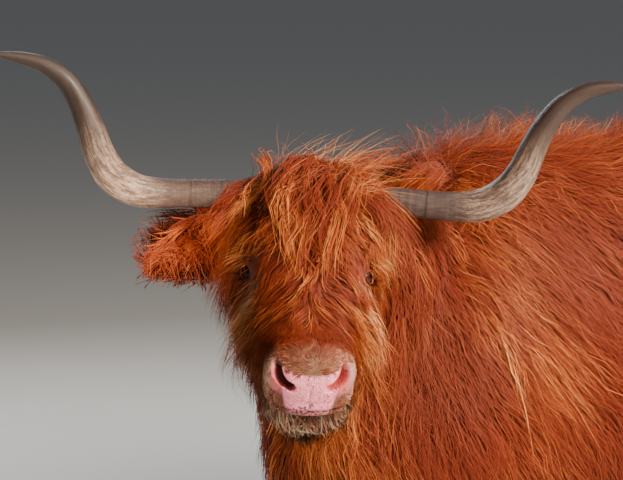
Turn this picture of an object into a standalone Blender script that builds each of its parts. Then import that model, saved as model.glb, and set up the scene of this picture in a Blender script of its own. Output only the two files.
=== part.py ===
"""Highland cow, life size and still, standing square with its head turned to its left.

The animal faces -Y, its left side is +X and it stands on Z = 0.  The solids give the outline out to the
tips of the coat.  Head, neck and trunk are one skin of rings, parted by thin plane cuts.  Legs, ears,
horns, tail, forelock and udder are lofts of their own, cut back where they meet their neighbours.
"""

import math
from collections import namedtuple

import bpy
import numpy as np
from mathutils import Vector

# --- driving dimensions ------------------------------------------------------------------------------
HEIGHT_AT_WITHERS = 1.16                  # to the skin, in metres
CM = HEIGHT_AT_WITHERS / 116.0            # the tables below are in centimetres of a 116 cm animal
GAP = 0.0004                              # left between two solids that touch
EYE_RADIUS = 1.8 * CM
HORN_RADIUS = 2.6 * CM

# the head: where the point between the eyes is, and how the face lies
HEAD_AT = np.array([18.5, -88.5, 102.9]) * CM
HEAD_TURN = math.radians(51.5)              # to the animal's left, from straight ahead
HEAD_DROP = math.radians(32)              # of the line of the nose, below level
HEAD_ROLL = math.radians(3.6)             # the left ear lower than the right

# --- materials: base colour, roughness ---------------------------------------------------------------
FINISHES = {
    "coat": ((0.42, 0.12, 0.035), 0.75),
    "forelock": ((0.50, 0.17, 0.05), 0.70),
    "horn": ((0.42, 0.34, 0.27), 0.45),
    "hoof": ((0.07, 0.055, 0.045), 0.50),
    "eye": ((0.02, 0.012, 0.008), 0.10),
    "udder": ((0.62, 0.36, 0.28), 0.60),
}

# One ring of the head, neck and trunk.  crest and keel are its highest and lowest points on the
# midline, half_width its reach to each side, widest how far up from keel to crest that reach is, and
# square the power of its outline, 2 for an ellipse.  coat is the depth of hair on top, side and bottom.
Ring = namedtuple("Ring", "crest keel half_width widest square coat")

# The head's rings, in its own frame: (forward along the nose, up out of the forehead), in centimetres
# from the point between the eyes.
HEAD_RINGS = {
    "lips": Ring((27.5, -0.6), (26.2, -8.2), 3.8, 0.58, 2.2, (0.2, 0.2, 0.4)),
    "nose pad": Ring((26.3, 2.2), (24.8, -10.2), 6.4, 0.62, 2.5, (0.3, 0.4, 1.2)),
    "nostrils": Ring((23.4, 3.5), (22.2, -11.2), 7.1, 0.60, 2.5, (0.6, 0.7, 1.8)),
    "muzzle": Ring((19.0, 4.1), (18.3, -11.6), 6.8, 0.56, 2.4, (0.9, 1.7, 2.6)),
    "nose": Ring((12.0, 5.2), (12.3, -12.4), 7.3, 0.54, 2.3, (1.3, 2.9, 3.6)),
    "cheek": Ring((5.5, 6.6), (6.5, -14.4), 9.4, 0.58, 2.3, (1.6, 3.3, 4.0)),
    "eyes": Ring((-0.5, 7.6), (-0.5, -17.4), 10.6, 0.64, 2.3, (1.8, 2.4, 3.8)),
    "forehead": Ring((-8.5, 8.0), (-6.0, -20.0), 11.2, 0.62, 2.3, (2.2, 3.6, 4.0)),
    "poll": Ring((-16.5, 6.2), (-10.5, -20.5), 10.8, 0.55, 2.2, (3.4, 4.2, 4.5)),
}

# The trunk's rings, from the root of the neck back: (Y, Z) in centimetres.
TRUNK_RINGS = {
    "neck root": Ring((-48, 114.0), (-73, 62.0), 15.5, 0.46, 2.0, (7.5, 5.5, 8.0)),
    "withers": Ring((-37, 116.0), (-62, 51.0), 22.5, 0.40, 2.1, (8.0, 6.0, 9.0)),
    "girth": Ring((-20, 115.0), (-38, 47.0), 25.5, 0.44, 2.2, (7.0, 5.5, 9.5)),
    "ribs": Ring((0, 115.0), (-6, 45.5), 28.5, 0.46, 2.2, (6.5, 5.0, 9.5)),
    "barrel": Ring((20, 115.5), (20, 46.0), 28.5, 0.48, 2.2, (6.0, 5.0, 9.5)),
    "flank": Ring((36, 117.0), (35, 51.5), 26.5, 0.52, 2.3, (5.5, 5.0, 9.0)),
    "hips": Ring((49, 118.0), (46, 63.0), 25.0, 0.56, 2.4, (5.0, 4.5, 4.0)),
    "rump": Ring((62, 115.5), (60, 70.0), 20.5, 0.58, 2.3, (4.5, 4.5, 3.0)),
    "pins": Ring((72, 110.0), (73, 77.0), 12.5, 0.58, 2.2, (4.0, 4.0, 3.0)),
    "tail root": Ring((76.5, 102.0), (77, 88.0), 5.0, 0.55, 2.0, (2.0, 2.0, 2.0)),
}

# The neck's rings lie this far from the poll to the root of the neck.
NAPE_SHARES = (0.35, 0.7)

# A leg, tail or ear is a row of knots: where its middle is, its half sizes across and along the
# animal, and the depth of hair at its front, side and back.
Knot = namedtuple("Knot", "at half_width half_depth coat")

FORELEG = {
    "top": Knot((12.0, -50.0, 80.0), 1.5, 3.0, (0.5, 0.5, 0.5)),
    "shoulder": Knot((13.5, -49.0, 74.0), 5.5, 9.0, (1.5, 1.5, 1.5)),
    "elbow": Knot((17.0, -47.5, 62.0), 7.2, 10.0, (3.0, 3.0, 3.5)),
    "forearm": Knot((17.2, -49.0, 47.0), 5.8, 6.6, (2.6, 2.6, 4.0)),
    "above knee": Knot((17.0, -50.0, 38.0), 4.4, 4.9, (2.2, 2.2, 3.6)),
    "knee": Knot((16.8, -50.5, 32.5), 4.7, 5.1, (1.9, 2.0, 3.2)),
    "cannon": Knot((16.6, -50.2, 22.0), 3.1, 3.7, (1.6, 1.8, 3.4)),
    "fetlock": Knot((16.5, -50.6, 12.5), 4.0, 4.4, (1.6, 1.8, 3.4)),
    "pastern": Knot((16.5, -52.4, 8.0), 4.2, 4.3, (1.4, 1.6, 2.8)),
    "coronet": Knot((16.5, -53.6, 4.6), 4.6, 4.8, (1.0, 1.2, 1.6)),
}
HINDLEG = {
    "top": Knot((13.0, 54.0, 101.0), 3.0, 6.0, (1.0, 1.0, 1.0)),
    "thigh": Knot((15.6, 54.5, 90.0), 8.0, 16.0, (3.0, 3.0, 3.0)),
    "stifle": Knot((17.6, 52.0, 72.0), 7.6, 17.0, (3.0, 3.0, 3.0)),
    "gaskin": Knot((17.8, 58.5, 57.0), 6.0, 10.0, (2.6, 2.6, 3.5)),
    "above hock": Knot((16.8, 65.0, 47.5), 4.2, 6.6, (2.2, 2.2, 3.2)),
    "hock": Knot((16.6, 66.5, 41.0), 4.3, 6.2, (1.9, 2.0, 2.8)),
    "cannon": Knot((16.5, 65.0, 27.0), 3.2, 4.2, (1.7, 1.8, 3.2)),
    "fetlock": Knot((16.5, 63.0, 13.0), 4.0, 4.5, (1.6, 1.8, 3.4)),
    "pastern": Knot((16.5, 60.4, 8.0), 4.2, 4.3, (1.4, 1.6, 2.8)),
    "coronet": Knot((16.5, 58.8, 4.6), 4.6, 4.8, (1.0, 1.2, 1.6)),
}
# How far each foot stands ahead (-) or behind (+) of the square stance, in centimetres.
STRIDE = {"fore_left": 3.0, "fore_right": -4.0, "hind_left": -4.0, "hind_right": 3.0}

TAIL = {
    "root": Knot((0, 71.5, 104.0), 3.4, 3.4, (0.8, 0.8, 0.8)),
    "bend": Knot((0, 78.6, 98.0), 3.0, 3.0, (1.2, 1.2, 1.2)),
    "dock": Knot((0, 81.0, 84.0), 2.2, 2.2, (1.8, 1.8, 1.8)),
    "middle": Knot((0, 81.8, 66.0), 1.6, 1.6, (2.8, 2.8, 2.8)),
    "switch": Knot((0, 82.0, 50.0), 1.3, 1.3, (5.0, 5.6, 5.0)),
    "brush": Knot((0, 82.0, 36.0), 1.0, 1.0, (4.6, 5.2, 4.6)),
    "tip": Knot((0, 82.0, 22.0), 0.3, 0.3, (1.0, 1.2, 1.0)),
}

# The middle line of a horn in the head's frame: out to the side, forward, up, in centimetres, and its
# thickness as a share of HORN_RADIUS.
HORN = [
    (7.0, -14.0, 3.9, 0.92),
    (12.0, -14.2, 4.1, 0.92),
    (16.0, -14.2, 4.2, 0.90),
    (20.5, -13.8, 4.2, 0.91),
    (24.8, -13.2, 4.5, 0.97),
    (29.0, -12.4, 5.6, 1.06),
    (32.8, -12.2, 8.3, 1.10),
    (35.2, -12.9, 12.2, 1.00),
    (36.8, -14.4, 16.2, 0.89),
    (38.6, -16.2, 19.9, 0.78),
    (41.1, -17.7, 23.3, 0.67),
    (44.6, -18.5, 25.7, 0.54),
    (48.8, -18.4, 27.1, 0.37),
    (53.4, -17.5, 28.3, 0.08),
]

# The ear in the head's frame, as for the horn: middle line, half width and half thickness.
EAR_RIGHT = [
    ((9.5, -14.5, -2.0), 3.0, 2.6),
    ((13.0, -14.2, -3.8), 5.6, 3.2),
    ((17.5, -13.8, -6.0), 7.8, 3.4),
    ((21.5, -13.4, -7.6), 8.4, 3.2),
    ((25.2, -13.0, -8.6), 6.6, 2.6),
    ((28.2, -12.6, -9.2), 2.6, 1.4),
]
EAR_LEFT = [
    ((9.5, -16.5, -1.5), 3.0, 2.4),
    ((13.0, -18.0, 0.2), 4.2, 2.8),
    ((17.0, -20.2, 2.0), 5.4, 3.0),
    ((21.0, -22.8, 3.2), 5.6, 2.8),
    ((24.5, -25.4, 3.6), 4.6, 2.4),
    ((27.4, -27.8, 3.4), 2.0, 1.2),
]
EAR_WIDTH_WAY = {"left": (-0.05, -0.5, 0.85), "right": (0.25, -0.5, 0.85)}

# The forelock lies over the forehead: rings in the head's frame, as for the head.
FORELOCK_RINGS = [
    Ring((10.5, 7.4), (10.5, 3.0), 3.6, 0.40, 2.0, (0, 0, 0)),
    Ring((6.5, 9.4), (6.5, 1.5), 7.4, 0.40, 2.2, (0, 0, 0)),
    Ring((0.5, 11.8), (0.5, 0.0), 11.0, 0.42, 2.3, (0, 0, 0)),
    Ring((-6.5, 13.2), (-6.0, 0.0), 14.2, 0.42, 2.4, (0, 0, 0)),
    Ring((-13.0, 13.6), (-12.0, 0.0), 15.6, 0.42, 2.4, (0, 0, 0)),
    Ring((-19.0, 12.4), (-17.0, -1.0), 13.6, 0.42, 2.2, (0, 0, 0)),
    Ring((-23.0, 9.6), (-21.0, 1.0), 7.6, 0.42, 2.0, (0, 0, 0)),
]

RING_SIDES = 24
LEG_SIDES = 12
EYE_SIDES = 12


# --- frames ------------------------------------------------------------------------------------------
def unit(v):
    """A vector, or each row of an array of them, at length 1."""
    v = np.asarray(v, float)
    return v / np.linalg.norm(v, axis=-1, keepdims=True)


def head_frame():
    """The head's axes as rows: to the animal's left, forward along the nose, up out of the forehead."""
    ahead = np.array([math.sin(HEAD_TURN), -math.cos(HEAD_TURN), 0.0])
    left = np.array([math.cos(HEAD_TURN), math.sin(HEAD_TURN), 0.0])
    above = np.array([0.0, 0.0, 1.0])
    forward = math.cos(HEAD_DROP) * ahead - math.sin(HEAD_DROP) * above
    up = math.sin(HEAD_DROP) * ahead + math.cos(HEAD_DROP) * above
    rolled_left = math.cos(HEAD_ROLL) * left - math.sin(HEAD_ROLL) * up
    rolled_up = math.cos(HEAD_ROLL) * up + math.sin(HEAD_ROLL) * left
    return np.array([rolled_left, forward, rolled_up])


HEAD_AXES = head_frame()


def on_head(left, forward, up):
    """A place given in centimetres in the head's frame, in metres in the animal's."""
    return HEAD_AT + CM * np.array([left, forward, up], float) @ HEAD_AXES


# --- rings through stations --------------------------------------------------------------------------
# A station is one row of numbers: crest, keel and reach as vectors, then widest, square and coat.
def head_station(ring):
    reach = CM * ring.half_width * HEAD_AXES[0]
    return as_row(on_head(0, *ring.crest), on_head(0, *ring.keel), reach, ring)


def trunk_station(ring):
    crest, keel = (CM * np.array([0.0, *place]) for place in (ring.crest, ring.keel))
    return as_row(crest, keel, np.array([CM * ring.half_width, 0.0, 0.0]), ring)


def as_row(crest, keel, reach, ring):
    return np.concatenate([crest, keel, reach, [ring.widest, ring.square], CM * np.array(ring.coat, float)])


def neck_station(nape, root, share, bow):
    """Between nape and root of the neck: their mean by share, with crest and keel bowed forward and out."""
    made = (1 - share) * nape + share * root
    made[0:3] += bow
    made[3:6] += bow
    return made


def through(stations, per_gap):
    """Rows on Catmull-Rom curves through the stations, per_gap of them to each gap, ends included."""
    rows = np.array(stations, float)
    padded = np.vstack([2 * rows[0] - rows[1], rows, 2 * rows[-1] - rows[-2]])
    found = []
    for i in range(len(rows) - 1):
        a, b, c, d = padded[i:i + 4]
        for step in range(per_gap):
            t = step / per_gap
            found.append(0.5 * (2 * b + (c - a) * t + (2 * a - 5 * b + 4 * c - d) * t**2
                                + (3 * b - a - 3 * c + d) * t**3))
    return np.array(found + [rows[-1]])


def ring_points(station, sides, grow=0.0):
    """The points round one ring, from the crest towards the animal's left."""
    crest, keel, reach = station[0:3], station[3:6], station[6:9]
    widest, square, coat = station[9], station[10], station[11:14]
    centre = keel + widest * (crest - keel)
    angle = 2 * math.pi * np.arange(sides) / sides
    across = np.sign(np.sin(angle)) * np.abs(np.sin(angle)) ** (2 / square)
    rise = np.sign(np.cos(angle)) * np.abs(np.cos(angle)) ** (2 / square)
    above, below = np.clip(rise, 0, 1)[:, None], np.clip(-rise, 0, 1)[:, None]
    points = centre + across[:, None] * reach + above * (crest - centre) + below * (keel - centre)
    end = np.where(np.cos(angle) > 0, coat[0], coat[2])
    depth = coat[1] + (end - coat[1]) * np.cos(angle) ** 2 + grow
    return points + depth[:, None] * unit(points - centre)


def ring_normal(station):
    """Square to a ring's plane, towards the nose."""
    return unit(np.cross(station[6:9], station[0:3] - station[3:6]))


# --- meshes ------------------------------------------------------------------------------------------
def finish(name):
    """The material of that name, made once."""
    found = bpy.data.materials.get(name)
    if found:
        return found
    colour, roughness = FINISHES[name]
    made = bpy.data.materials.new(name)
    made.use_nodes = True
    shader = made.node_tree.nodes["Principled BSDF"]
    shader.inputs["Base Color"].default_value = (*colour, 1.0)
    shader.inputs["Roughness"].default_value = roughness
    return made


def solid(name, rings, material, cutter=False):
    """A closed skin over rings of equal length: triangles between them and a fan at each end.

    The object's own origin is the middle of its first ring, where the piece begins.
    """
    rings = np.array(rings)
    count, sides = rings.shape[:2]
    here = np.arange(sides)
    after = (here + 1) % sides
    faces = []
    for ring in range(count - 1):
        low, high = ring * sides, (ring + 1) * sides
        faces += np.stack([low + here, low + after, high + after], axis=1).tolist()
        faces += np.stack([low + here, high + after, high + here], axis=1).tolist()
    last = (count - 1) * sides
    hubs = count * sides, count * sides + 1
    faces += np.stack([after, here, np.full(sides, hubs[0])], axis=1).tolist()
    faces += np.stack([last + here, last + after, np.full(sides, hubs[1])], axis=1).tolist()
    start = rings[0].mean(axis=0)
    points = np.vstack([rings.reshape(-1, 3), start, rings[-1].mean(axis=0)]) - start
    corners = points[np.array(faces)] - points.mean(axis=0)
    mesh = bpy.data.meshes.new(name)
    mesh.from_pydata(points.tolist(), [], faces)
    if np.linalg.det(corners).sum() < 0:
        mesh.flip_normals()
    mesh.shade_smooth()
    made = bpy.data.objects.new(name, mesh)
    made.location = start
    bpy.context.scene.collection.objects.link(made)
    if cutter:
        made.hide_render = True
        made.display_type = "WIRE"
    else:
        mesh.materials.append(finish(material))
    return made


def cut(piece, *cutters):
    """Takes the cutters' shapes out of the piece."""
    for cutter in cutters:
        made = piece.modifiers.new("cut by " + cutter.name, "BOOLEAN")
        made.operation = "DIFFERENCE"
        made.object = cutter


def join(piece, *others):
    for other in others:
        made = piece.modifiers.new("joined to " + other.name, "BOOLEAN")
        made.operation = "UNION"
        made.object = other


def ellipsoid(name, centre, axes, halves, sides, material, cutter=False):
    """An ellipsoid round centre, its rings square to the first axis."""
    rings = []
    for i in range(1, sides // 2):
        polar = math.pi * i / (sides // 2)
        turn = 2 * math.pi * np.arange(sides) / sides
        rings.append(centre + halves[0] * math.cos(polar) * axes[0]
                     + halves[1] * math.sin(polar) * np.cos(turn)[:, None] * axes[1]
                     + halves[2] * math.sin(polar) * np.sin(turn)[:, None] * axes[2])
    return solid(name, rings, material, cutter)


# --- head, neck and trunk ----------------------------------------------------------------------------
def body_stations():
    """Stations of head, neck and trunk, in three rows that share their end rings."""
    head = [head_station(ring) for ring in HEAD_RINGS.values()]
    trunk = [trunk_station(ring) for ring in TRUNK_RINGS.values()]
    bow = CM * np.array([0.0, -1.0, 1.5])
    neck = []
    for share in NAPE_SHARES:
        neck.append(neck_station(head[-1], trunk[0], share, bow * math.sin(math.pi * share)))
    rows = through(head + neck + trunk, per_gap=2)
    nape, root = 2 * (len(head) - 1), 2 * (len(head) + len(neck))
    return rows[:nape + 1], rows[nape:root + 1], rows[root:]


def part_ends(rings, rows, front, back):
    """Draws an end ring back by half the gap, square to its own plane, where the piece meets the next."""
    if front:
        rings[0] = rings[0] - 0.5 * GAP * ring_normal(rows[0])
    if back:
        rings[-1] = rings[-1] + 0.5 * GAP * ring_normal(rows[-1])
    return rings


def body_piece(name, rows, front=False, back=False):
    rings = [ring_points(station, RING_SIDES) for station in rows]
    return solid(name, part_ends(rings, rows, front, back), "coat")


def body_cutter(name, rows):
    rings = [ring_points(station, RING_SIDES, 1.5 * GAP) for station in rows]
    rings[0] = rings[0] + 1.5 * GAP * ring_normal(rows[0])
    rings[-1] = rings[-1] - 1.5 * GAP * ring_normal(rows[-1])
    return solid(name, rings, None, cutter=True)


def eye_place(side):
    return on_head(side * 9.4, 0.2, -0.6)


def eye_axes(side):
    """Where an eye looks, then two axes square to it."""
    look = unit(np.array([side * 0.86, 0.44, 0.24]) @ HEAD_AXES)
    along = unit(np.cross(look, HEAD_AXES[2]))
    return np.array([look, along, np.cross(look, along)])


def make_eye(label, side):
    centre, axes = eye_place(side), eye_axes(side)
    ellipsoid("eye_" + label, centre, axes, [EYE_RADIUS] * 3, EYE_SIDES, "eye")
    hollow = [EYE_RADIUS + 1.5 * GAP] * 3
    socket = ellipsoid("socket_" + label, centre, axes, hollow, EYE_SIDES, None, cutter=True)
    return socket, lid_opening(label, centre, axes)


def lid_opening(label, centre, axes):
    """The gap in the hair in front of an eye: a flaring tube with an almond section."""
    turn = 2 * math.pi * np.arange(EYE_SIDES) / EYE_SIDES
    rings = []
    for out, wide, high in ((0.5, 1.45, 1.05), (1.2, 1.6, 1.2), (6.0, 4.2, 3.6)):
        rings.append(centre + CM * out * axes[0] + CM * wide * np.cos(turn)[:, None] * axes[1]
                     + CM * high * np.sin(turn)[:, None] * axes[2])
    return solid("lids_" + label, rings, None, cutter=True)


def nostril(side):
    """A nostril's hollow: a slanting oval pushed back into the nose pad."""
    slant = unit(np.array([side * 0.52, 0.0, 0.85]) @ HEAD_AXES)
    back = unit(np.array([side * 0.45, 1.0, 0.0]) @ HEAD_AXES)
    axes = np.array([back, slant, np.cross(back, slant)])
    centre, halves = on_head(side * 4.3, 26.5, -1.1), CM * np.array([2.6, 2.1, 0.8])
    return ellipsoid(f"nostril_{side:+d}", centre, axes, halves, 10, None, cutter=True)


def mouth_slit():
    """A thin wedge between the lips, from the front of the mouth to its corners."""
    rings = []
    for forward, drop in ((30.0, -6.8), (24.0, -7.0), (17.5, -6.2)):
        corners = ((-7.6, -0.1), (7.6, -0.1), (7.6, 0.1), (-7.6, 0.1))
        inward = 0.55 if forward < 20 else 1.0
        rings.append([on_head(inward * x, forward, drop + y) for x, y in corners])
    return solid("mouth", rings, None, cutter=True)


# --- horns, ears and forelock ------------------------------------------------------------------------
def tube(points, halves, way, sides, grow=0.0):
    """Rings square to a line through points.  halves are (along way, square to it) for each point."""
    points, halves = np.array(points, float), np.array(halves, float)
    heading = unit(np.gradient(points, axis=0))
    first = unit(way - (heading @ way)[:, None] * heading)
    second = np.cross(heading, first)
    turn = 2 * math.pi * np.arange(sides) / sides
    across = (halves[:, :1] + grow) * np.cos(turn)
    deep = (halves[:, 1:] + grow) * np.sin(turn)
    return points[:, None] + across[..., None] * first[:, None] + deep[..., None] * second[:, None]


def horn_rings(side, grow=0.0):
    rows = through(HORN, per_gap=2)
    line = [on_head(side * out, forward, up) for out, forward, up, _ in rows]
    radius = HORN_RADIUS * rows[:, 3]
    return tube(line, np.stack([radius, radius], axis=1), HEAD_AXES[2] + 0.3 * HEAD_AXES[1], 10, grow)


def ear_rings(side, table, way, grow=0.0):
    rows = through([(*at, wide, thick) for at, wide, thick in table], per_gap=2)
    line = [on_head(side * out, forward, up) for out, forward, up in rows[:, :3]]
    width_way = unit(np.array([side * way[0], way[1], way[2]]) @ HEAD_AXES)
    return tube(line, CM * rows[:, 3:5], width_way, 14, grow)


def make_forelock():
    rows = through([head_station(ring) for ring in FORELOCK_RINGS], per_gap=2)
    return solid("forelock", [ring_points(station, 18) for station in rows], "forelock")


# --- legs, hooves, tail and udder --------------------------------------------------------------------
def limb_rings(rows, sides, grow=0.0):
    """Level rings round knots: each row is a place, two half sizes and hair at front, side and back."""
    turn = 2 * math.pi * np.arange(sides) / sides
    rings = []
    for x, y, z, wide, deep, front, side, back in rows:
        end = np.where(np.cos(turn) > 0, front, back)
        hair = side + (end - side) * np.cos(turn) ** 2 + grow
        ring = np.stack([x + (wide + hair) * np.sin(turn), y - (deep + hair) * np.cos(turn),
                         np.full(sides, z)], axis=1)
        rings.append(ring)
    return rings


def knot_rows(table, side=1, stride=0.0):
    """A table of knots as rows in metres.  The stride grows from nothing at the top to all at the foot."""
    knots = list(table.values())
    rows = np.array([[*knot.at, knot.half_width, knot.half_depth, *knot.coat] for knot in knots], float)
    top, foot = rows[0, 2], rows[-1, 2]
    rows[:, 1] += stride * np.clip((top - rows[:, 2]) / (top - foot), 0, 1) ** 1.5
    rows[:, 0] *= side
    return rows * CM


def make_leg(label, table, side, joint, trunk_cutter):
    """One leg in two pieces, parted level at the knee or hock, with its two claws and dewclaws."""
    rows = through(knot_rows(table, side, STRIDE[label]), per_gap=2)
    split = 2 * list(table).index(joint)
    upper, lower = limb_rings(rows[:split + 1], LEG_SIDES), limb_rings(rows[split:], LEG_SIDES)
    lift = np.array([0, 0, 0.5 * GAP])
    upper[-1] = upper[-1] + lift
    lower[0] = lower[0] - lift
    cut(solid("leg_" + label, upper, "coat"), trunk_cutter)
    shank = solid("shank_" + label, lower, "coat")
    grown_shank = limb_rings(rows[split:], LEG_SIDES, 1.5 * GAP)
    foot = rows[-1, :3]
    for way in (-1, 1):
        name = f"{label}_{'inner' if way != side else 'outer'}"
        solid("claw_" + name, claw_rings(foot, way), "hoof")
        cut(shank, solid("cutter_claw_" + name, claw_rings(foot, way, 1.5 * GAP), None, cutter=True))
        dew = ellipsoid("dewclaw_" + name, foot + CM * np.array([2.6 * way, 7.6, 3.4]), dewclaw_axes(),
                        CM * np.array([2.3, 1.3, 1.0]), 8, "hoof")
        cut(dew, solid("cutter_shank_" + name, grown_shank, None, cutter=True))
    return solid("cutter_leg_" + label, limb_rings(rows, LEG_SIDES, 1.5 * GAP), None, cutter=True)


def dewclaw_axes():
    down = unit(np.array([0.0, 0.55, -0.84]))
    return np.array([down, [1.0, 0.0, 0.0], np.cross(down, [1.0, 0.0, 0.0])])


# A claw, in centimetres: its height, how far its wall leans back for each of those, half its length and
# width at the sole, where its middle is from the foot's, and how much narrower it is at the coronet.
CLAW_HEIGHT, CLAW_LEAN = 6.2, 0.62
CLAW_HALF_LENGTH, CLAW_HALF_WIDTH = 5.6, 2.55
CLAW_OUT, CLAW_AHEAD = 2.95, 3.0
CLAW_TAPER = 0.22
CLAW_TOE_TURNS_IN = 0.55
CLAW_SIDES = 12


def claw_rings(foot, way, grow=0.0):
    """A claw of a cloven hoof: a pointed oval on the floor whose wall leans back to the coronet."""
    turn = 2 * math.pi * np.arange(CLAW_SIDES) / CLAW_SIDES
    ahead = np.clip(np.cos(turn), 0, 1)
    rings = []
    for share in (0.0, 0.25, 1.0):
        size = 1.0 - CLAW_TAPER * share
        wide = CLAW_HALF_WIDTH * size * (1 - CLAW_TAPER * ahead**2)
        x = way * (CLAW_OUT - 0.25 * share - CLAW_TOE_TURNS_IN * ahead**3) + wide * np.sin(turn)
        y = CLAW_HEIGHT * CLAW_LEAN * share - CLAW_AHEAD - CLAW_HALF_LENGTH * size * np.cos(turn)
        z = np.full(CLAW_SIDES, CLAW_HEIGHT * share)
        ring = CM * np.stack([x, y, z], axis=1) + [foot[0], foot[1], 0.0]
        centre = ring.mean(axis=0)
        rings.append(ring + grow * unit(ring - centre))
    rings[0] = rings[0] - np.array([0, 0, 10 * grow])
    rings[-1] = rings[-1] + np.array([0, 0, grow])
    return rings


def make_tail(trunk_cutter):
    rows = through(knot_rows(TAIL), per_gap=2)
    split = 2 * list(TAIL).index("middle")
    line, halves = rows[:, :3], np.stack([rows[:, 3] + rows[:, 6], rows[:, 4] + rows[:, 5]], axis=1)
    rings = tube(line, halves, np.array([1.0, 0.0, 0.0]), 12)
    drop = 0.5 * GAP * unit(line[split + 1] - line[split - 1])
    dock, switch = rings[:split + 1].copy(), rings[split:].copy()
    dock[-1] -= drop
    switch[0] += drop
    cut(solid("tail", dock, "coat"), trunk_cutter)
    solid("tail_switch", switch, "coat")


def make_udder(cutters):
    """A small bag between the thighs with its four teats."""
    axes = np.array([[0, 0, 1.0], [1.0, 0, 0], [0, 1.0, 0]])
    centre, halves = CM * np.array([0, 52.0, 57.5]), CM * np.array([10.0, 6.4, 9.0])
    bag = ellipsoid("udder", centre, axes, halves, 12, "udder")
    for x in (-3.0, 3.0):
        for y in (49.0, 55.0):
            line = CM * np.array([[x, y, 50.0], [x * 1.1, y, 46.0], [x * 1.15, y, 43.0]])
            teat = tube(line, CM * np.array([[1.5, 1.5], [1.1, 1.1], [0.6, 0.6]]), np.array([1.0, 0, 0]), 6)
            join(bag, solid(f"teat_{x:+.0f}_{y:.0f}", teat, None, cutter=True))
    cut(bag, *cutters)


# --- the animal --------------------------------------------------------------------------------------
def centre_on_floor():
    """Hangs every piece on one empty, and moves it so that the whole model is centred over the origin."""
    stand = bpy.data.objects.new("stand", None)
    pieces = list(bpy.context.scene.collection.objects)
    bpy.context.scene.collection.objects.link(stand)
    for piece in pieces:
        piece.parent = stand
    seen = bpy.context.evaluated_depsgraph_get()
    corners = []
    for piece in pieces:
        if not piece.hide_render:
            shown = piece.evaluated_get(seen)
            corners += [shown.matrix_world @ Vector(corner) for corner in shown.bound_box]
    corners = np.array(corners)
    middle = (corners.min(axis=0) + corners.max(axis=0)) / 2
    stand.location = (-middle[0], -middle[1], 0.0)


def main():
    for old in list(bpy.data.objects):
        bpy.data.objects.remove(old)
    head_rows, neck_rows, trunk_rows = body_stations()
    head = body_piece("head", head_rows, back=True)
    body_piece("neck", neck_rows, front=True, back=True)
    body_piece("trunk", trunk_rows, front=True)
    head_cutter = body_cutter("cutter_head", head_rows)
    neck_cutter = body_cutter("cutter_neck", neck_rows)
    trunk_cutter = body_cutter("cutter_trunk", trunk_rows)
    forelock = make_forelock()
    for label, side, table in (("left", 1, EAR_LEFT), ("right", -1, EAR_RIGHT)):
        cut(head, *make_eye(label, side), nostril(side))
        horn = solid("horn_" + label, horn_rings(side), "horn")
        grown_horn = solid("cutter_horn_" + label, horn_rings(side, 1.5 * GAP), None, cutter=True)
        way = EAR_WIDTH_WAY[label]
        ear = solid("ear_" + label, ear_rings(side, table, way), "coat")
        grown_ear = solid("cutter_ear_" + label, ear_rings(side, table, way, 1.5 * GAP), None, cutter=True)
        cut(horn, head_cutter, neck_cutter)
        cut(ear, head_cutter, neck_cutter, grown_horn)
        cut(forelock, grown_horn, grown_ear)
    cut(head, mouth_slit())
    cut(forelock, head_cutter, neck_cutter)
    thigh_cutters = []
    for label, side in (("left", 1), ("right", -1)):
        make_leg("fore_" + label, FORELEG, side, "knee", trunk_cutter)
        thigh_cutters.append(make_leg("hind_" + label, HINDLEG, side, "hock", trunk_cutter))
    make_tail(trunk_cutter)
    make_udder([trunk_cutter, *thigh_cutters])
    centre_on_floor()


main()
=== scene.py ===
"""Highland cow, life size: its skin, coat, horns, eyes and claws, laid over the solids of the frame.

The animal's own tables are in centimetres, in a frame where it faces -Y from over X = 0, as its solids
were drawn.  The head has axes of its own: out to its left, forward along the nose and up out of the
forehead, from the point between the eyes.
"""

import math
from collections import namedtuple

import bpy
import numpy as np
from mathutils import Matrix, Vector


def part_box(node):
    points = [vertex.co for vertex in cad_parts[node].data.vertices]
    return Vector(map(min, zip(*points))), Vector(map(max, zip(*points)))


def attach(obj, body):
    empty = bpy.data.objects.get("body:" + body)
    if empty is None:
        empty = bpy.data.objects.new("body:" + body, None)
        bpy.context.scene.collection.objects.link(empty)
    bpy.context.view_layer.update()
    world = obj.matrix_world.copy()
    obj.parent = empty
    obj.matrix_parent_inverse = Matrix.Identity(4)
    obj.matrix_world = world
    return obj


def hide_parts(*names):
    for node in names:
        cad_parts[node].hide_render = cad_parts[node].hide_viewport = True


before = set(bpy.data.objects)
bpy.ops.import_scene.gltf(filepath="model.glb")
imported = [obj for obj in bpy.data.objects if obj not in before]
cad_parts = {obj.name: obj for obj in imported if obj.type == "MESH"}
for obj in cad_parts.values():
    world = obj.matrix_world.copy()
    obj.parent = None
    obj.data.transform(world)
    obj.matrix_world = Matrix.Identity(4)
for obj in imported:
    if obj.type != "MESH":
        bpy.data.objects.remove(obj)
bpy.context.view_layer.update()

bl_info = {
    "name": "Highland cow",
    "version": (1, 0, 0),
    "blender": (4, 5, 0),
    "location": "3D View > Sidebar > Highland cow",
    "description": "Skin, coat, horns, eyes and claws of a life-size highland cow",
    "category": "Object",
}

# A centimetre in metres.
CM = 0.01
LEGS = ("fore_left", "fore_right", "hind_left", "hind_right")
SIDES = {"left": 1, "right": -1}

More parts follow.
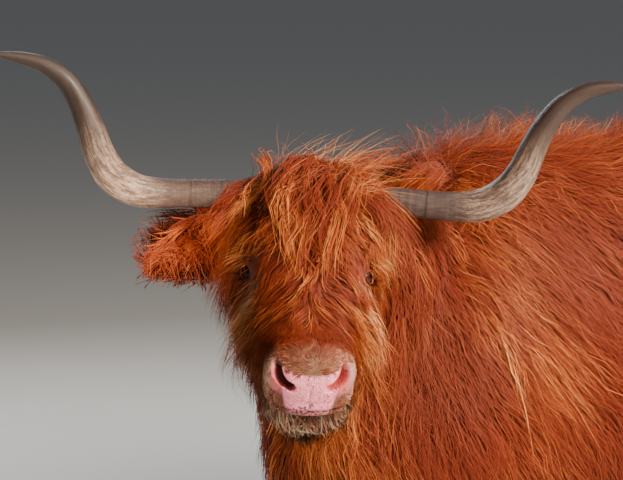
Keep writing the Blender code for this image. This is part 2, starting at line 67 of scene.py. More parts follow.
# --- the animal's shape ------------------------------------------------------------------------------
# One ring of the body.  crest and keel are its highest and lowest points on the midline, half_width its
# reach to each side, widest how far up from keel to crest that reach is, square the power of its
# outline, and coat the depth of hair on top, side and bottom.
Ring = namedtuple("Ring", "crest keel half_width widest square coat")
HEAD_RINGS = {
    "lips": Ring((27.5, -0.6), (26.2, -8.2), 3.8, 0.58, 2.2, (0.2, 0.2, 0.4)),
    "nose pad": Ring((26.3, 2.2), (24.8, -10.2), 6.4, 0.62, 2.5, (0.3, 0.4, 1.2)),
    "nostrils": Ring((23.4, 3.5), (22.2, -11.2), 7.1, 0.60, 2.5, (0.6, 0.7, 1.8)),
    "muzzle": Ring((19.0, 4.1), (18.3, -11.6), 6.8, 0.56, 2.4, (0.9, 2.6, 3.0)),
    "nose": Ring((12.0, 5.2), (12.3, -12.4), 7.3, 0.54, 2.3, (1.3, 5.4, 5.0)),
    "cheek": Ring((5.5, 6.6), (6.5, -14.4), 9.4, 0.58, 2.3, (1.6, 5.2, 5.0)),
    "eyes": Ring((-0.5, 7.6), (-0.5, -17.4), 10.6, 0.64, 2.3, (1.8, 2.4, 3.8)),
    "forehead": Ring((-8.5, 8.0), (-6.0, -20.0), 11.2, 0.62, 2.3, (2.2, 3.6, 4.0)),
    "poll": Ring((-16.5, 6.2), (-10.5, -20.5), 10.8, 0.55, 2.2, (3.4, 4.2, 4.5)),
}
TRUNK_RINGS = {
    "neck root": Ring((-48, 114.0), (-73, 62.0), 15.5, 0.46, 2.0, (7.5, 5.5, 8.0)),
    "withers": Ring((-37, 116.0), (-62, 51.0), 22.5, 0.40, 2.1, (8.0, 6.0, 9.0)),
    "girth": Ring((-20, 115.0), (-38, 47.0), 25.5, 0.44, 2.2, (7.0, 5.5, 9.5)),
    "ribs": Ring((0, 115.0), (-6, 45.5), 28.5, 0.46, 2.2, (6.5, 5.0, 9.5)),
    "barrel": Ring((20, 115.5), (20, 46.0), 28.5, 0.48, 2.2, (6.0, 5.0, 9.5)),
    "flank": Ring((36, 117.0), (35, 51.5), 26.5, 0.52, 2.3, (5.5, 5.0, 9.0)),
    "hips": Ring((49, 118.0), (46, 63.0), 25.0, 0.56, 2.4, (5.0, 4.5, 4.0)),
    "rump": Ring((62, 115.5), (60, 70.0), 20.5, 0.58, 2.3, (4.5, 4.5, 3.0)),
    "pins": Ring((72, 110.0), (73, 77.0), 12.5, 0.58, 2.2, (4.0, 4.0, 3.0)),
    "tail root": Ring((76.5, 102.0), (77, 88.0), 5.0, 0.55, 2.0, (2.0, 2.0, 2.0)),
}
# Finer steps are taken where the shape is finer: rings in each gap between stations, nose to tail.
RINGS_PER_GAP = (8, 14, 16, 12, 12, 16, 16, 10, 7, 7, 7, 7, 7, 7, 7, 7, 6, 6, 6, 6)
# Where the nape's own stations are, on the way from the poll to the neck's root.
NAPE_SHARES = (0.35, 0.7)

# A leg or tail is a row of knots: its middle, half sizes across and along the animal, and hair at its
# front, side and back.
Knot = namedtuple("Knot", "at half_width half_depth coat")
FORELEG = (
    Knot((12.0, -50.0, 80.0), 1.5, 3.0, (0.5, 0.5, 0.5)),
    Knot((13.5, -49.0, 74.0), 5.5, 9.0, (1.5, 1.5, 1.5)),
    Knot((17.0, -47.5, 62.0), 7.2, 10.0, (3.0, 3.0, 3.5)),
    Knot((17.2, -49.0, 47.0), 5.8, 6.6, (2.6, 2.6, 4.0)),
    Knot((17.0, -50.0, 38.0), 4.4, 4.9, (2.2, 2.2, 3.6)),
    Knot((16.8, -50.5, 32.5), 4.7, 5.1, (1.9, 2.0, 3.2)),
    Knot((16.6, -50.2, 22.0), 3.1, 3.7, (1.6, 1.8, 3.4)),
    Knot((16.5, -50.6, 12.5), 4.0, 4.4, (1.6, 1.8, 3.4)),
    Knot((16.5, -52.4, 8.0), 4.2, 4.3, (1.4, 1.6, 2.8)),
    Knot((16.5, -53.6, 4.6), 4.6, 4.8, (1.0, 1.2, 1.6)),
)
HINDLEG = (
    Knot((13.0, 54.0, 101.0), 3.0, 6.0, (1.0, 1.0, 1.0)),
    Knot((15.6, 54.5, 90.0), 8.0, 16.0, (3.0, 3.0, 3.0)),
    Knot((17.6, 52.0, 72.0), 7.6, 17.0, (3.0, 3.0, 3.0)),
    Knot((17.8, 58.5, 57.0), 6.0, 10.0, (2.6, 2.6, 3.5)),
    Knot((16.8, 65.0, 47.5), 4.2, 6.6, (2.2, 2.2, 3.2)),
    Knot((16.6, 66.5, 41.0), 4.3, 6.2, (1.9, 2.0, 2.8)),
    Knot((16.5, 65.0, 27.0), 3.2, 4.2, (1.7, 1.8, 3.2)),
    Knot((16.5, 63.0, 13.0), 4.0, 4.5, (1.6, 1.8, 3.4)),
    Knot((16.5, 60.4, 8.0), 4.2, 4.3, (1.4, 1.6, 2.8)),
    Knot((16.5, 58.8, 4.6), 4.6, 4.8, (1.0, 1.2, 1.6)),
)
# How far back each foot is set, in centimetres.
STRIDE = {"fore_left": 3.0, "fore_right": -4.0, "hind_left": -4.0, "hind_right": 3.0}
TAIL = (
    Knot((0, 71.5, 104.0), 3.4, 3.4, (0.8, 0.8, 0.8)),
    Knot((0, 78.6, 98.0), 3.0, 3.0, (1.2, 1.2, 1.2)),
    Knot((0, 81.0, 84.0), 2.2, 2.2, (1.8, 1.8, 1.8)),
    Knot((0, 81.8, 66.0), 1.6, 1.6, (2.8, 2.8, 2.8)),
    Knot((0, 82.0, 50.0), 1.3, 1.3, (5.0, 5.6, 5.0)),
    Knot((0, 82.0, 36.0), 1.0, 1.0, (4.6, 5.2, 4.6)),
    Knot((0, 82.0, 22.0), 0.3, 0.3, (1.0, 1.2, 1.0)),
)
# A horn's middle line in the head's frame, and its thickness as a share of the horn's radius.
HORN = (
    (7.0, -14.0, 3.9, 0.92), (12.0, -14.2, 4.1, 0.92), (16.0, -14.2, 4.2, 0.90),
    (20.5, -13.8, 4.2, 0.91), (24.8, -13.2, 4.5, 0.97), (29.0, -12.4, 5.6, 1.06),
    (32.8, -12.2, 8.3, 1.10), (35.2, -12.9, 12.2, 1.00), (36.8, -14.4, 16.2, 0.89),
    (38.6, -16.2, 19.9, 0.78), (41.1, -17.7, 23.3, 0.67), (44.6, -18.5, 25.7, 0.54),
    (48.8, -18.4, 27.1, 0.37), (53.4, -17.5, 28.3, 0.08),
)
# An ear's middle line in the head's frame, and its half width.
EARS = {
    "right": (
        (8.5, -14.5, -1.6, 2.4), (11.5, -14.3, -3.0, 3.2), (15.0, -14.0, -4.8, 4.3),
        (18.5, -13.7, -6.2, 4.6), (21.8, -13.3, -7.4, 3.6), (24.6, -13.0, -8.4, 1.0),
    ),
    "left": (
        (8.5, -16.0, -1.8, 2.4), (11.5, -17.4, -0.6, 3.0), (15.0, -19.2, 1.0, 3.8),
        (18.6, -21.4, 2.3, 4.1), (22.0, -23.6, 3.1, 3.2), (24.6, -25.6, 3.4, 0.9),
    ),
}
# Which way an ear's width lies, and which way its hollow faces, in the head's frame.
EAR_WAYS = {
    "right": ((0.25, -0.5, 0.85), (0.45, 0.85, -0.3)),
    "left": ((-0.05, -0.5, 0.85), (0.75, 0.6, 0.1)),
}
# How far the head is turned to the left, dropped and rolled, in degrees, where its frame stood when the
# solids were drawn, and where the left eye's solid is in it.
HEAD_TURN, HEAD_DROP, HEAD_ROLL = 51.5, 32.0, 3.6
HEAD_DRAWN_AT = (18.5, -88.5, 102.9)
EYE_SOLID_AT = (9.4, 0.2, -0.6)
# The left eyeball's middle and the way it looks, in the head's frame.
EYE_AT, EYE_LOOK = (9.05, 0.3, -0.65), (0.70, 0.55, 0.46)
# The fur parts along this way and this far out, in front of each eye and of its tear line, over these
# half widths in centimetres.
PARTING_WAY, PARTING_REACH = (0.15, 0.78, 0.61), 14.0
EYE_OPEN = (1.7, 1.5)
TEAR_AT, TEAR_OPEN = (9.0, 5.0, -0.2), (1.0, 1.4)
# The udder's middle and half sizes up, out and along, where its teats are, and the axes of both.
UDDER_AT, UDDER_HALVES = (0.0, 52.0, 57.5), (9.9, 6.3, 8.9)
TEATS = [(x, y) for x in (-3.0, 3.0) for y in (49.0, 55.0)]
UPRIGHT = np.array([[0.0, 0.0, 1.0], [1.0, 0.0, 0.0], [0.0, 1.0, 0.0]])
# Rings of the dome over the lips and of the one over the tail's root, how far back from the lips rings
# are smoothed together and how many times.
LIP_RINGS, END_RINGS, SMOOTHED, LIP_SMOOTHINGS = 10, 6, 22, 24
# Half an eye's opening and the lids' distance from the eyeball's middle, in centimetres.
EYE_HALF_LENGTH, LID_RADIUS = 1.45, 1.93
# Only half as much dark shows in the left nostril: painted light, as that nostril is on the lit side.
LIT_NOSTRIL_SHARE = 0.5
# How steeply hair bends down past the end of the skin that it lies on, and how far short of the number
# of rows that end is.
DROOP, JUST_OVER_ONE = 0.15, 1.001
# Coats that start before this station grow by the muzzle.
MUZZLE_STATIONS = 6
# The pale band from the neck over the shoulder, in metres, and the lowest that hair hangs.
BAND_TOP, BAND_LOW, BAND_WIDTH = (0.0, -0.33, 1.11), (0.10, -0.28, 0.97), 0.06
LOWEST_HAIR = 0.004


def size_property(name, description, default, low, high, **kind):
    """A number for the panel, with its unit or subtype."""
    return bpy.props.FloatProperty(name=name, description=description, default=default,
                                   min=low, max=high, **kind)


def colour_property(name, description, default):
    """A colour for the panel."""
    return bpy.props.FloatVectorProperty(name=name, description=description, default=default, size=3,
                                         min=0.0, max=1.0, subtype="COLOR")


class CowSizes(bpy.types.PropertyGroup):
    """Sizes that change the animal's look."""

    horn_radius: size_property("Horn radius", "Thickest half width of a horn", 0.026, 0.01, 0.05,
                               unit="LENGTH")
    eye_radius: size_property("Eye radius", "Radius of each eyeball", 0.018, 0.01, 0.03, unit="LENGTH")
    coat_length: size_property("Coat length", "Length of hair, as a share of the breed's", 1.0, 0.5, 1.2,
                               subtype="FACTOR")
    coat_amount: size_property("Coat amount", "Share of the tufts that are made", 1.0, 0.05, 1.0,
                               subtype="FACTOR")
    camera_lens: size_property("Lens", "Focal length of the camera in millimetres", 158.0, 20.0, 300.0)


class CowColours(bpy.types.PropertyGroup):
    """Colours of the animal and of the studio's floor."""

    # deep is painted shade, near each tuft's root.
    deep: colour_property("Deep coat", "Hair near its root and in shade", (0.028, 0.004, 0.0015))
    russet: colour_property("Russet", "The coat's main colour", (0.150, 0.0175, 0.0032))
    gold: colour_property("Gold", "Sun-bleached strands", (0.46, 0.115, 0.020))
    blond: colour_property("Blond", "Palest tips", (0.68, 0.32, 0.11))
    cream: colour_property("Cream", "Fur round the muzzle", (0.78, 0.60, 0.44))
    nose: colour_property("Nose", "Bare skin of the nose", (0.84, 0.245, 0.345))
    # freckle also paints the shade along the lips' line.
    flush: colour_property("Flush", "Red skin inside nostrils and lids", (0.50, 0.075, 0.06))
    freckle: colour_property("Freckle", "Dark specks on bare skin", (0.06, 0.03, 0.03))
    horn: colour_property("Horn", "Pale horn", (0.135, 0.078, 0.058))
    horn_dark: colour_property("Dark horn", "Rings and tips of the horns", (0.026, 0.013, 0.010))
    hoof: colour_property("Hoof", "Horn of the claws", (0.05, 0.04, 0.034))
    eye: colour_property("Eye", "Iris", (0.012, 0.005, 0.003))
    floor: colour_property("Floor", "Studio floor", (0.78, 0.77, 0.75))


# Colours that go with a finish and aren't for a user to change.
CREAM_ROOT, TAN_ROOT, TAN_TIP = (0.20, 0.085, 0.045), (0.040, 0.013, 0.007), (0.36, 0.155, 0.080)
MOTTLED_PINK, LIP_BROWN = (0.62, 0.20, 0.30), (0.32, 0.10, 0.07)
# The second nostril colour is painted shade deep inside the nostrils.
HOLLOW_RED, PAINTED_NOSTRIL_SHADE = (0.34, 0.045, 0.040), (0.030, 0.006, 0.006)
WORN_HORN, HORN_BASE, HORN_CRACK = (0.46, 0.34, 0.26), (0.050, 0.030, 0.028), (0.03, 0.016, 0.01)
CLAW_GRAIN, CLAW_SCUFF = (0.13, 0.10, 0.08), (0.24, 0.20, 0.16)
IRIS_FIBRE, PUPIL_BLACK = (0.030, 0.011, 0.006), (0.004, 0.003, 0.003)
RIM_PALE, RIM_DARK = (0.022, 0.010, 0.007), (0.014, 0.006, 0.004)
FLOOR_CLOUD = (0.6, 0.59, 0.57)


# --- frames and curves -------------------------------------------------------------------------------
def unit(v):
    """Each row at length 1."""
    v = np.asarray(v, float)
    return v / np.maximum(np.linalg.norm(v, axis=-1, keepdims=True), 1e-12)


def dot(a, b):
    """Row by row, kept as a column."""
    return (a * b).sum(axis=-1, keepdims=True)


def smooth(x, low, high):
    """0 below low and 1 above high; between them t^2 (3 - 2t), with t the share of the way."""
    t = np.clip((x - low) / (high - low), 0, 1)
    return t * t * (3 - 2 * t)


def fade(x, low, high):
    """1 below low, 0 above high, and a smooth step between."""
    return 1 - smooth(x, low, high)


def blob(points, centre, spread):
    """A bell of height 1 round centre: e to minus the squared distance, in spreads along each axis."""
    return np.exp(-(((points - np.array(centre)) / np.array(spread)) ** 2).sum(axis=-1))


def ovals_out(points, centre, halves):
    """How many times as far out as an oval's surface points are, seen from its centre."""
    return np.linalg.norm((points - np.array(centre)) / np.array(halves), axis=-1)


def circle(count):
    """Turns once round, in radians, as one row."""
    return 2 * math.pi * np.arange(count)[None] / count


def even(count, last):
    """Numbers from 0 to last, evenly spaced."""
    return np.linspace(0, last, count)


def sided(place, side):
    """A place of the left side, or its mirror on the right when side is -1."""
    return np.array(place) * np.array([side, 1, 1])


def head_axes():
    """The head's axes as rows: to the animal's left, forward along the nose, up out of the forehead."""
    turn, drop, roll = np.radians((HEAD_TURN, HEAD_DROP, HEAD_ROLL))
    ahead = np.array([math.sin(turn), -math.cos(turn), 0.0])
    level = np.array([math.cos(turn), math.sin(turn), 0.0])
    forward = math.cos(drop) * ahead - math.sin(drop) * UP
    up = math.sin(drop) * ahead + math.cos(drop) * UP
    left = math.cos(roll) * level - math.sin(roll) * up
    return np.array([left, forward, math.cos(roll) * up + math.sin(roll) * level])


def head_origin():
    """The point between the eyes in the frame's metres, taken from the left eye's solid."""
    low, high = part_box("eye_left")
    middle = (np.array(low) + np.array(high)) / 2
    return middle - CM * np.array(EYE_SOLID_AT) @ HEAD_AXES


UP = np.array([0.0, 0.0, 1.0])
HEAD_AXES = head_axes()
HEAD_AT = head_origin()
# Where the tables' X = 0 and Y = 0 are in the model.
PLACE = (HEAD_AT - CM * np.array(HEAD_DRAWN_AT)) * np.array([1.0, 1.0, 0.0])


def on_head(points):
    """Points in centimetres in the head's frame, in metres in the model's."""
    return HEAD_AT + CM * np.asarray(points, float) @ HEAD_AXES


def on_body(points):
    """Points in centimetres in the tables' own frame, in metres in the model's."""
    return PLACE + CM * np.asarray(points, float)


def to_head(points):
    """Points of the model in centimetres in the head's frame."""
    return (points - HEAD_AT) @ HEAD_AXES.T / CM


def halved(points):
    """Points of the model in the head's frame, with its right half laid over its left."""
    h = to_head(points)
    h[..., 0] = np.abs(h[..., 0])
    return h


def spline(table, at):
    """Rows of the table at fractional row numbers, on Catmull-Rom curves through them."""
    rows = np.array(table, float)
    padded = np.vstack([2 * rows[0] - rows[1], rows, 2 * rows[-1] - rows[-2]])
    i = np.minimum(np.asarray(at).astype(int), len(rows) - 2)
    t = (at - i)[:, None]
    a, b, c, d = (padded[i + k] for k in range(4))
    return 0.5 * (2 * b + (c - a) * t + (2 * a - 5 * b + 4 * c - d) * t**2 + (3 * b - a - 3 * c + d) * t**3)


# --- surfaces ----------------------------------------------------------------------------------------
class Patch:
    """A closed tube of skin as a grid: rows run along it and columns round it, with the last row's and
    first row's holes closed by a point each.  depth is the coat's depth, in metres."""

    def __init__(self, points, depth=0.0, station=None):
        self.points = points
        self.depth = np.broadcast_to(depth, points.shape[:2])
        self.station = np.linspace(0, 1, len(points)) if station is None else station
        self.along = np.gradient(points, axis=0)
        self.around = (np.roll(points, -1, axis=1) - np.roll(points, 1, axis=1)) / 2
        normals = unit(np.cross(self.along, self.around))
        outward = points - points.mean(axis=1, keepdims=True)
        self.turned = (normals * outward).sum() < 0
        self.normals = -normals if self.turned else normals

    def at(self, grid, u, v):
        """The grid's value at fractional rows u and columns v, between its four nearest points."""
        rows, columns = self.points.shape[:2]
        i = np.clip(u.astype(int), 0, rows - 2)
        floor = np.floor(v)
        j = floor.astype(int) % columns
        k = (j + 1) % columns
        s, t = u - i, v - floor
        if grid.ndim == 3:
            s, t = s[..., None], t[..., None]
        near, far = ((1 - t) * grid[row, j] + t * grid[row, k] for row in (i, i + 1))
        return (1 - s) * near + s * far

    def roots(self, count, density, random):
        """Random places on the patch, as many per square metre as density says relative to elsewhere."""
        area = np.linalg.norm(np.cross(self.along, self.around), axis=-1) * density
        area[-1] = 0.0
        share = np.cumsum(area.ravel())
        cell = np.searchsorted(share, random.random(count) * share[-1])
        u = cell // area.shape[1] + random.random(count)
        v = cell % area.shape[1] + random.random(count)
        return u, v

    def trace(self, u, v, way, length, steps):
        """Walks over the skin from each root: at every step the wanted direction is laid in the tangent
        plane and turned into steps of rows and columns.  Past the patch's end the walk goes on straight
        and droops.  Gives points, normals and headings."""
        last = len(self.points) - JUST_OVER_ONE
        step = (length / (steps - 1))[:, None]
        points, normals, headings = [], [], []
        gone = np.zeros((len(u), 1), bool)
        for _ in range(steps):
            along, around, here = (self.at(grid, u, v) for grid in (self.along, self.around, self.points))
            normal = unit(self.at(self.normals, u, v))
            heading = way(here, along, around, normal, v)
            heading = unit(heading - dot(heading, normal) * normal)
            if points:
                heading = np.where(gone, unit(headings[-1] - DROOP * UP), heading)
                here = np.where(gone, points[-1] + step * heading, here)
            points.append(here)
            normals.append(normal)
            headings.append(heading)
            aa, ab, bb = dot(along, along), dot(along, around), dot(around, around)
            p, q = dot(heading, along), dot(heading, around)
            spread = np.maximum(aa * bb - ab * ab, 1e-14)
            ahead = u + ((p * bb - q * ab) / spread * step)[:, 0]
            gone = gone | (ahead > last)[:, None] | (ahead < 0)[:, None]
            u = np.clip(ahead, 0.0, last)
            v = v + ((q * aa - p * ab) / spread * step)[:, 0]
        return np.stack(points, 1), np.stack(normals, 1), np.stack(headings, 1)


def stations(rings, place_of, leftward):
    """Rings as rows, in metres: crest, keel, reach, widest, square and coat."""
    rows = []
    for ring in rings.values():
        ends = [place_of((0.0, *place)) for place in (ring.crest, ring.keel)]
        shape = [ring.widest, ring.square, *(CM * np.array(ring.coat, float))]
        rows.append(np.concatenate([*ends, CM * ring.half_width * leftward, shape]))
    return rows


def body_stations():
    """Stations from lips to tail root, with the nape's own between head and trunk, bowed up."""
    head = stations(HEAD_RINGS, on_head, HEAD_AXES[0])
    trunk = stations(TRUNK_RINGS, on_body, UPRIGHT[1])
    nape = []
    for share in NAPE_SHARES:
        row = (1 - share) * head[-1] + share * trunk[0]
        row[:6] += CM * np.array([0.0, -1.0, 1.5] * 2) * math.sin(math.pi * share)
        nape.append(row)
    return np.array(head + nape + trunk)


def ring_grid(rows, sides):
    """Points and coat depth round each station.

    The points are on a superellipse through crest, sides and keel, whose sine and cosine are taken to the
    power 2 / square.  The depth goes from the side's to the top's or bottom's by the cosine squared.
    """
    crest, keel, reach, widest, square, coat = np.split(rows[:, None], (3, 6, 9, 10, 11), axis=-1)
    centre = keel + widest * (crest - keel)
    turn = circle(sides)
    parts, power = (np.sin(turn), np.cos(turn)), 2 / square[..., 0]
    across, rise = (np.sign(part) * np.abs(part) ** power for part in parts)
    above, below = np.clip(rise, 0, 1)[..., None], np.clip(-rise, 0, 1)[..., None]
    points = centre + across[..., None] * reach + above * (crest - centre) + below * (keel - centre)
    top, beside, bottom = np.moveaxis(coat, -1, 0)
    return points, beside + (np.where(np.cos(turn) > 0, top, bottom) - beside) * np.cos(turn) ** 2


def domed(ring, bulge, count):
    """Rings from near a point out to the ring, over a dome that bulges by the given vector."""
    middle = ring.mean(axis=0)
    share = np.sin(0.5 * math.pi * (np.arange(count) + 0.35) / count)[:, None, None]
    return middle + share * (ring - middle) + np.sqrt(1 - share**2) * bulge


def make_body_patch(sides=288):
    """Head, neck and trunk as one tube from the lips to the root of the tail."""
    rows = body_stations()
    at = [i + np.arange(count) / count for i, count in enumerate(RINGS_PER_GAP)]
    at = np.concatenate([*at, [len(rows) - 1.0]])
    points, depth = ring_grid(spline(rows, at), sides)
    front = domed(points[0], CM * 0.55 * HEAD_AXES[1], LIP_RINGS)
    back = domed(points[-1], CM * np.array([0.0, 1.5, 0.0]), END_RINGS)[::-1]
    depth = np.vstack([np.repeat(depth[:1], LIP_RINGS, 0), depth, np.repeat(depth[-1:], END_RINGS, 0)])
    points = np.vstack([front, points, back])
    for _ in range(LIP_SMOOTHINGS):
        both_sides = points[:SMOOTHED - 1] + points[2:SMOOTHED + 1]
        points[1:SMOOTHED] = 0.5 * points[1:SMOOTHED] + 0.25 * both_sides
    before = np.linspace(-1, 0, LIP_RINGS, endpoint=False)
    station = np.concatenate([before, at, np.full(END_RINGS, at[-1])])
    return Patch(carve_head(Patch(points)), depth, station)


# The head's relief in centimetres: how far its skin is raised, round which place, and over what spread.
HEAD_RELIEF = {
    "socket": (-0.75, (10.3, 0.9, -0.5), (3.0, 1.6, 1.15)),
    "tear hollow": (-1.3, (9.4, 4.0, -0.8), (3.0, 2.6, 2.1)),
    "brow": (0.75, (9.3, -1.4, 2.9), (3.0, 3.2, 1.4)),
    "cheekbone": (0.45, (9.5, 1.2, -3.0), (3.0, 3.4, 1.2)),
    "nose's side": (-0.5, (7.6, 8.5, -1.0), (2.5, 3.5, 2.2)),
    "jaw": (0.5, (9.0, 1.0, -12.0), (4.0, 6.0, 4.5)),
    "nostril's wing": (0.55, (6.4, 24.6, 0.2), (1.6, 1.9, 2.0)),
    "nose pad": (0.28, (3.2, 27.2, 0.0), (1.0, 1.4, 1.8)),
}
# Folds along the closed mouth, in centimetres: how far raised, how high over its line, and how wide.
LIP_FOLDS = {
    "parting": (-0.75, 0.0, 0.3),
    "upper lip": (0.28, 1.0, 0.8),
    "lower lip": (0.22, -1.0, 0.8),
    "chin's crease": (-0.25, -2.3, 0.5),
}
# A nostril's slanting line from its top to its low end, how it bows, and the way that it leads in.
NOSTRIL_TOP, NOSTRIL_LOW = (5.3, 25.4, 1.2), (3.3, 26.8, -1.7)
NOSTRIL_BOW = np.array([0.5, 0.0, -0.4])
NOSTRIL_WAY = unit((0.15, 0.93, 0.32))


def carve_head(patch):
    """The head's skin moved along its normals: sockets, brows, cheeks, nostrils, lips and chin."""
    half = halved(patch.points)
    out, forward, up = np.moveaxis(to_head(patch.points), -1, 0)
    push = sum(raised * blob(half, place, spread) for raised, place, spread in HEAD_RELIEF.values())
    push -= 2.5 * nostril_hollow(half)
    line, front = mouth_height(forward), smooth(forward, 15.5, 19.0)
    for raised, above, width in LIP_FOLDS.values():
        push += raised * front * np.exp(-((up - line - above) / width) ** 2)
    groove = smooth(forward, 25.5, 26.8) * smooth(up, -7.2, -6.2) * fade(up, -2.5, -1.0)
    push -= 0.16 * groove * np.exp(-(out / 0.22) ** 2)
    return patch.points + CM * push[..., None] * patch.normals


def mouth_height(forward):
    """How far up the closed lips meet, by how far forward."""
    return -7.3 + 0.10 * (27.0 - forward)


def from_line(points, start, end):
    """How far along a straight line the place nearest to each point is, and the way from there to it."""
    run = np.array(end) - np.array(start)
    share = np.clip(((points - start) * run).sum(-1, keepdims=True) / (run @ run), 0, 1)
    return share, points - start - share * run


def nostril_hollow(m):
    """1 inside a nostril and 0 outside: the distance to a slanting line, against a radius that widens."""
    share, away = from_line(m, NOSTRIL_TOP, NOSTRIL_LOW)
    away = away - 4 * share * (1 - share) * NOSTRIL_BOW
    depth = away @ NOSTRIL_WAY
    away = np.sqrt(np.clip((away**2).sum(-1) - depth**2, 0, None))
    radius = 0.8 + 0.3 * share[..., 0]
    return fade(away / radius, 0.45, 1.0) * fade(np.abs(depth), 3.5, 4.5)


def head_marks(points):
    """Markings of the head by place, each from 0 to 1: bare skin, cream and tan fur, red flush, the hollow
    of a nostril, the line where the lips meet, and how near bare skin is to the lip.

    The bare nose is bounded by a shallow bowl above and by sides that lean in towards the lips.
    """
    m = halved(points)
    out, forward, up = np.moveaxis(m, -1, 0)
    here = fade(out, 14.0, 17.0) * fade(forward, 31.0, 33.0) * smooth(up, -17.0, -14.0)
    sides = fade(out - 4.35 - 0.20 * (up + 3.0), -0.25, 0.25)
    top = fade(up - 0.55 - 0.045 * out**2, -0.25, 0.25)
    pad = sides * top * smooth(up, -8.6, -8.1) * smooth(forward, 22.8, 23.8)
    # Painted light: the left nostril, on the lit side, takes half of the hollow's marks.
    hollow = nostril_hollow(m) * np.where(to_head(points)[..., 0] > 0, LIT_NOSTRIL_SHARE, 1.0)
    wing = np.clip(1.6 * blob(m, (5.3, 25.7, -1.0), (1.0, 1.9, 2.3)), 0, 1)
    rim = blob(m, (9.4, 2.7, -0.5), (1.3, 0.9, 0.6))
    bare = np.clip(np.maximum.reduce([pad, hollow, wing, 1.4 * rim]), 0, 1) * here
    muzzle = smooth(forward + 0.25 * out, 22.5, 28.5) * here
    ring = smooth(out + 0.25 * up, 4.6, 6.0) * smooth(up, -11.0, -9.0) * fade(up, 1.5, 3.5)
    fan = blob(m, (0.0, 26.0, 2.0), (1.8, 2.6, 1.5)) + 0.6 * blob(m, (5.0, 24.4, 2.2), (1.8, 2.0, 0.8))
    pale = muzzle * np.clip(0.7 * ring + 0.8 * np.clip(fan, 0, 1), 0, 1)
    chin = 0.85 * fade(up, -9.0, -8.0) * smooth(forward, 17.0, 21.0) * here
    streak = 0.75 * blob(m, (8.1, 4.5, 0.0), (1.9, 2.7, 1.5)) * here
    tan = muzzle * (1 - np.clip(ring, 0, 1)) * (0.8 + 0.2 * smooth(up, -9.0, -6.0))
    flush = np.clip(0.95 * wing * (1 - 0.3 * hollow) + 0.8 * rim + 0.4 * hollow, 0, 1)
    line = np.exp(-((up - mouth_height(forward)) / 0.3) ** 2) * smooth(forward, 17.0, 19.0) * here
    lip = 0.3 * blob(m, (0.0, 26.8, 0.4), (2.6, 2.0, 0.9))
    lip = (lip + 0.45 * fade(up, -6.8, -3.0) + 0.55 * fade(up, -8.2, -7.2)) * bare
    cream = np.clip(np.clip(pale + chin, 0, 1) * (1 - bare) + streak, 0, 1)
    return {"bare": bare, "cream": cream, "flush": flush, "hollow": hollow, "tan": tan * (1 - bare),
            "line": line, "lip": lip}


def limb_patch(knots, side=1, stride=0.0, sides=40, per_gap=7):
    """Level ellipses round a leg's or the tail's knots, domed at the lower end.

    The stride carries them back by the share of the way down to the power 1.5.
    """
    rows = np.array([[*knot.at, knot.half_width, knot.half_depth, *knot.coat] for knot in knots], float)
    top, foot = rows[0, 2], rows[-1, 2]
    rows[:, 1] += stride * np.clip((top - rows[:, 2]) / (top - foot), 0, 1) ** 1.5
    rows[:, 0] *= side
    rows = CM * spline(rows, even(per_gap * (len(rows) - 1) + 1, len(rows) - 1))
    x, y, z, half_width, half_depth, front, beside, back = (column[:, None] for column in rows.T)
    turn = circle(sides)
    grid = [x + half_width * np.sin(turn), y - half_depth * np.cos(turn), np.repeat(z, sides, 1)]
    points = PLACE + np.stack(grid, axis=-1)
    depth = beside + (np.where(np.cos(turn) > 0, front, back) - beside) * np.cos(turn) ** 2
    lower = domed(points[-1], CM * np.array([0, 0, -0.6]), 4)[::-1]
    return Patch(np.vstack([points, lower]), np.vstack([depth, np.repeat(depth[-1:], 4, 0)]))


def ear_patch(label):
    """A cupped leaf: crescent rings along the ear's middle line, its hollow facing forward and out.

    Each ring runs out by the cosine of its turn, and stands up by the cosine squared, as deep as the cup,
    which flattens to nothing at the tip, and by the sine, as thick as the leaf.
    """
    side = SIDES[label]
    rows = spline(EARS[label], even(37, len(EARS[label]) - 1))
    line, half = on_head(sided(rows[:, :3], side)), CM * rows[:, 3]
    width_way, cup_way = (unit(sided(way, side)) @ HEAD_AXES for way in EAR_WAYS[label])
    heading = unit(np.gradient(line, axis=0))
    across = unit(width_way - dot(heading, width_way) * heading)
    facing = np.cross(heading, across)
    facing = facing * np.sign(facing @ cup_way)[:, None]
    turn = circle(48)
    thick = CM * (0.28 + 0.5 * np.exp(-even(37, 5.0)))
    cup = half * 0.62 * np.cos(0.5 * math.pi * even(37, 1.0)) ** 0.3
    wide = half[:, None] * np.cos(turn)
    deep = cup[:, None] * (np.cos(turn) ** 2 - 0.45) + thick[:, None] * np.sin(turn)
    points = line[:, None] + wide[..., None] * across[:, None] + deep[..., None] * facing[:, None]
    return Patch(points, CM * 3.0)


def eye_centre(side):
    """The middle of an eyeball, in metres."""
    return on_head(sided(EYE_AT, side))


def eye_axes(side):
    """Where an eye looks, then along the face and up it."""
    look = unit(sided(EYE_LOOK, side)) @ HEAD_AXES
    ahead = unit(HEAD_AXES[1] - (HEAD_AXES[1] @ look) * look)
    return look, ahead, np.cross(look, ahead) * side


def on_axes(axes, lengths, start=0.0):
    """The sum of each axis times its grid of lengths, from a start."""
    return sum((length[..., None] * axis for axis, length in zip(axes, lengths)), start)


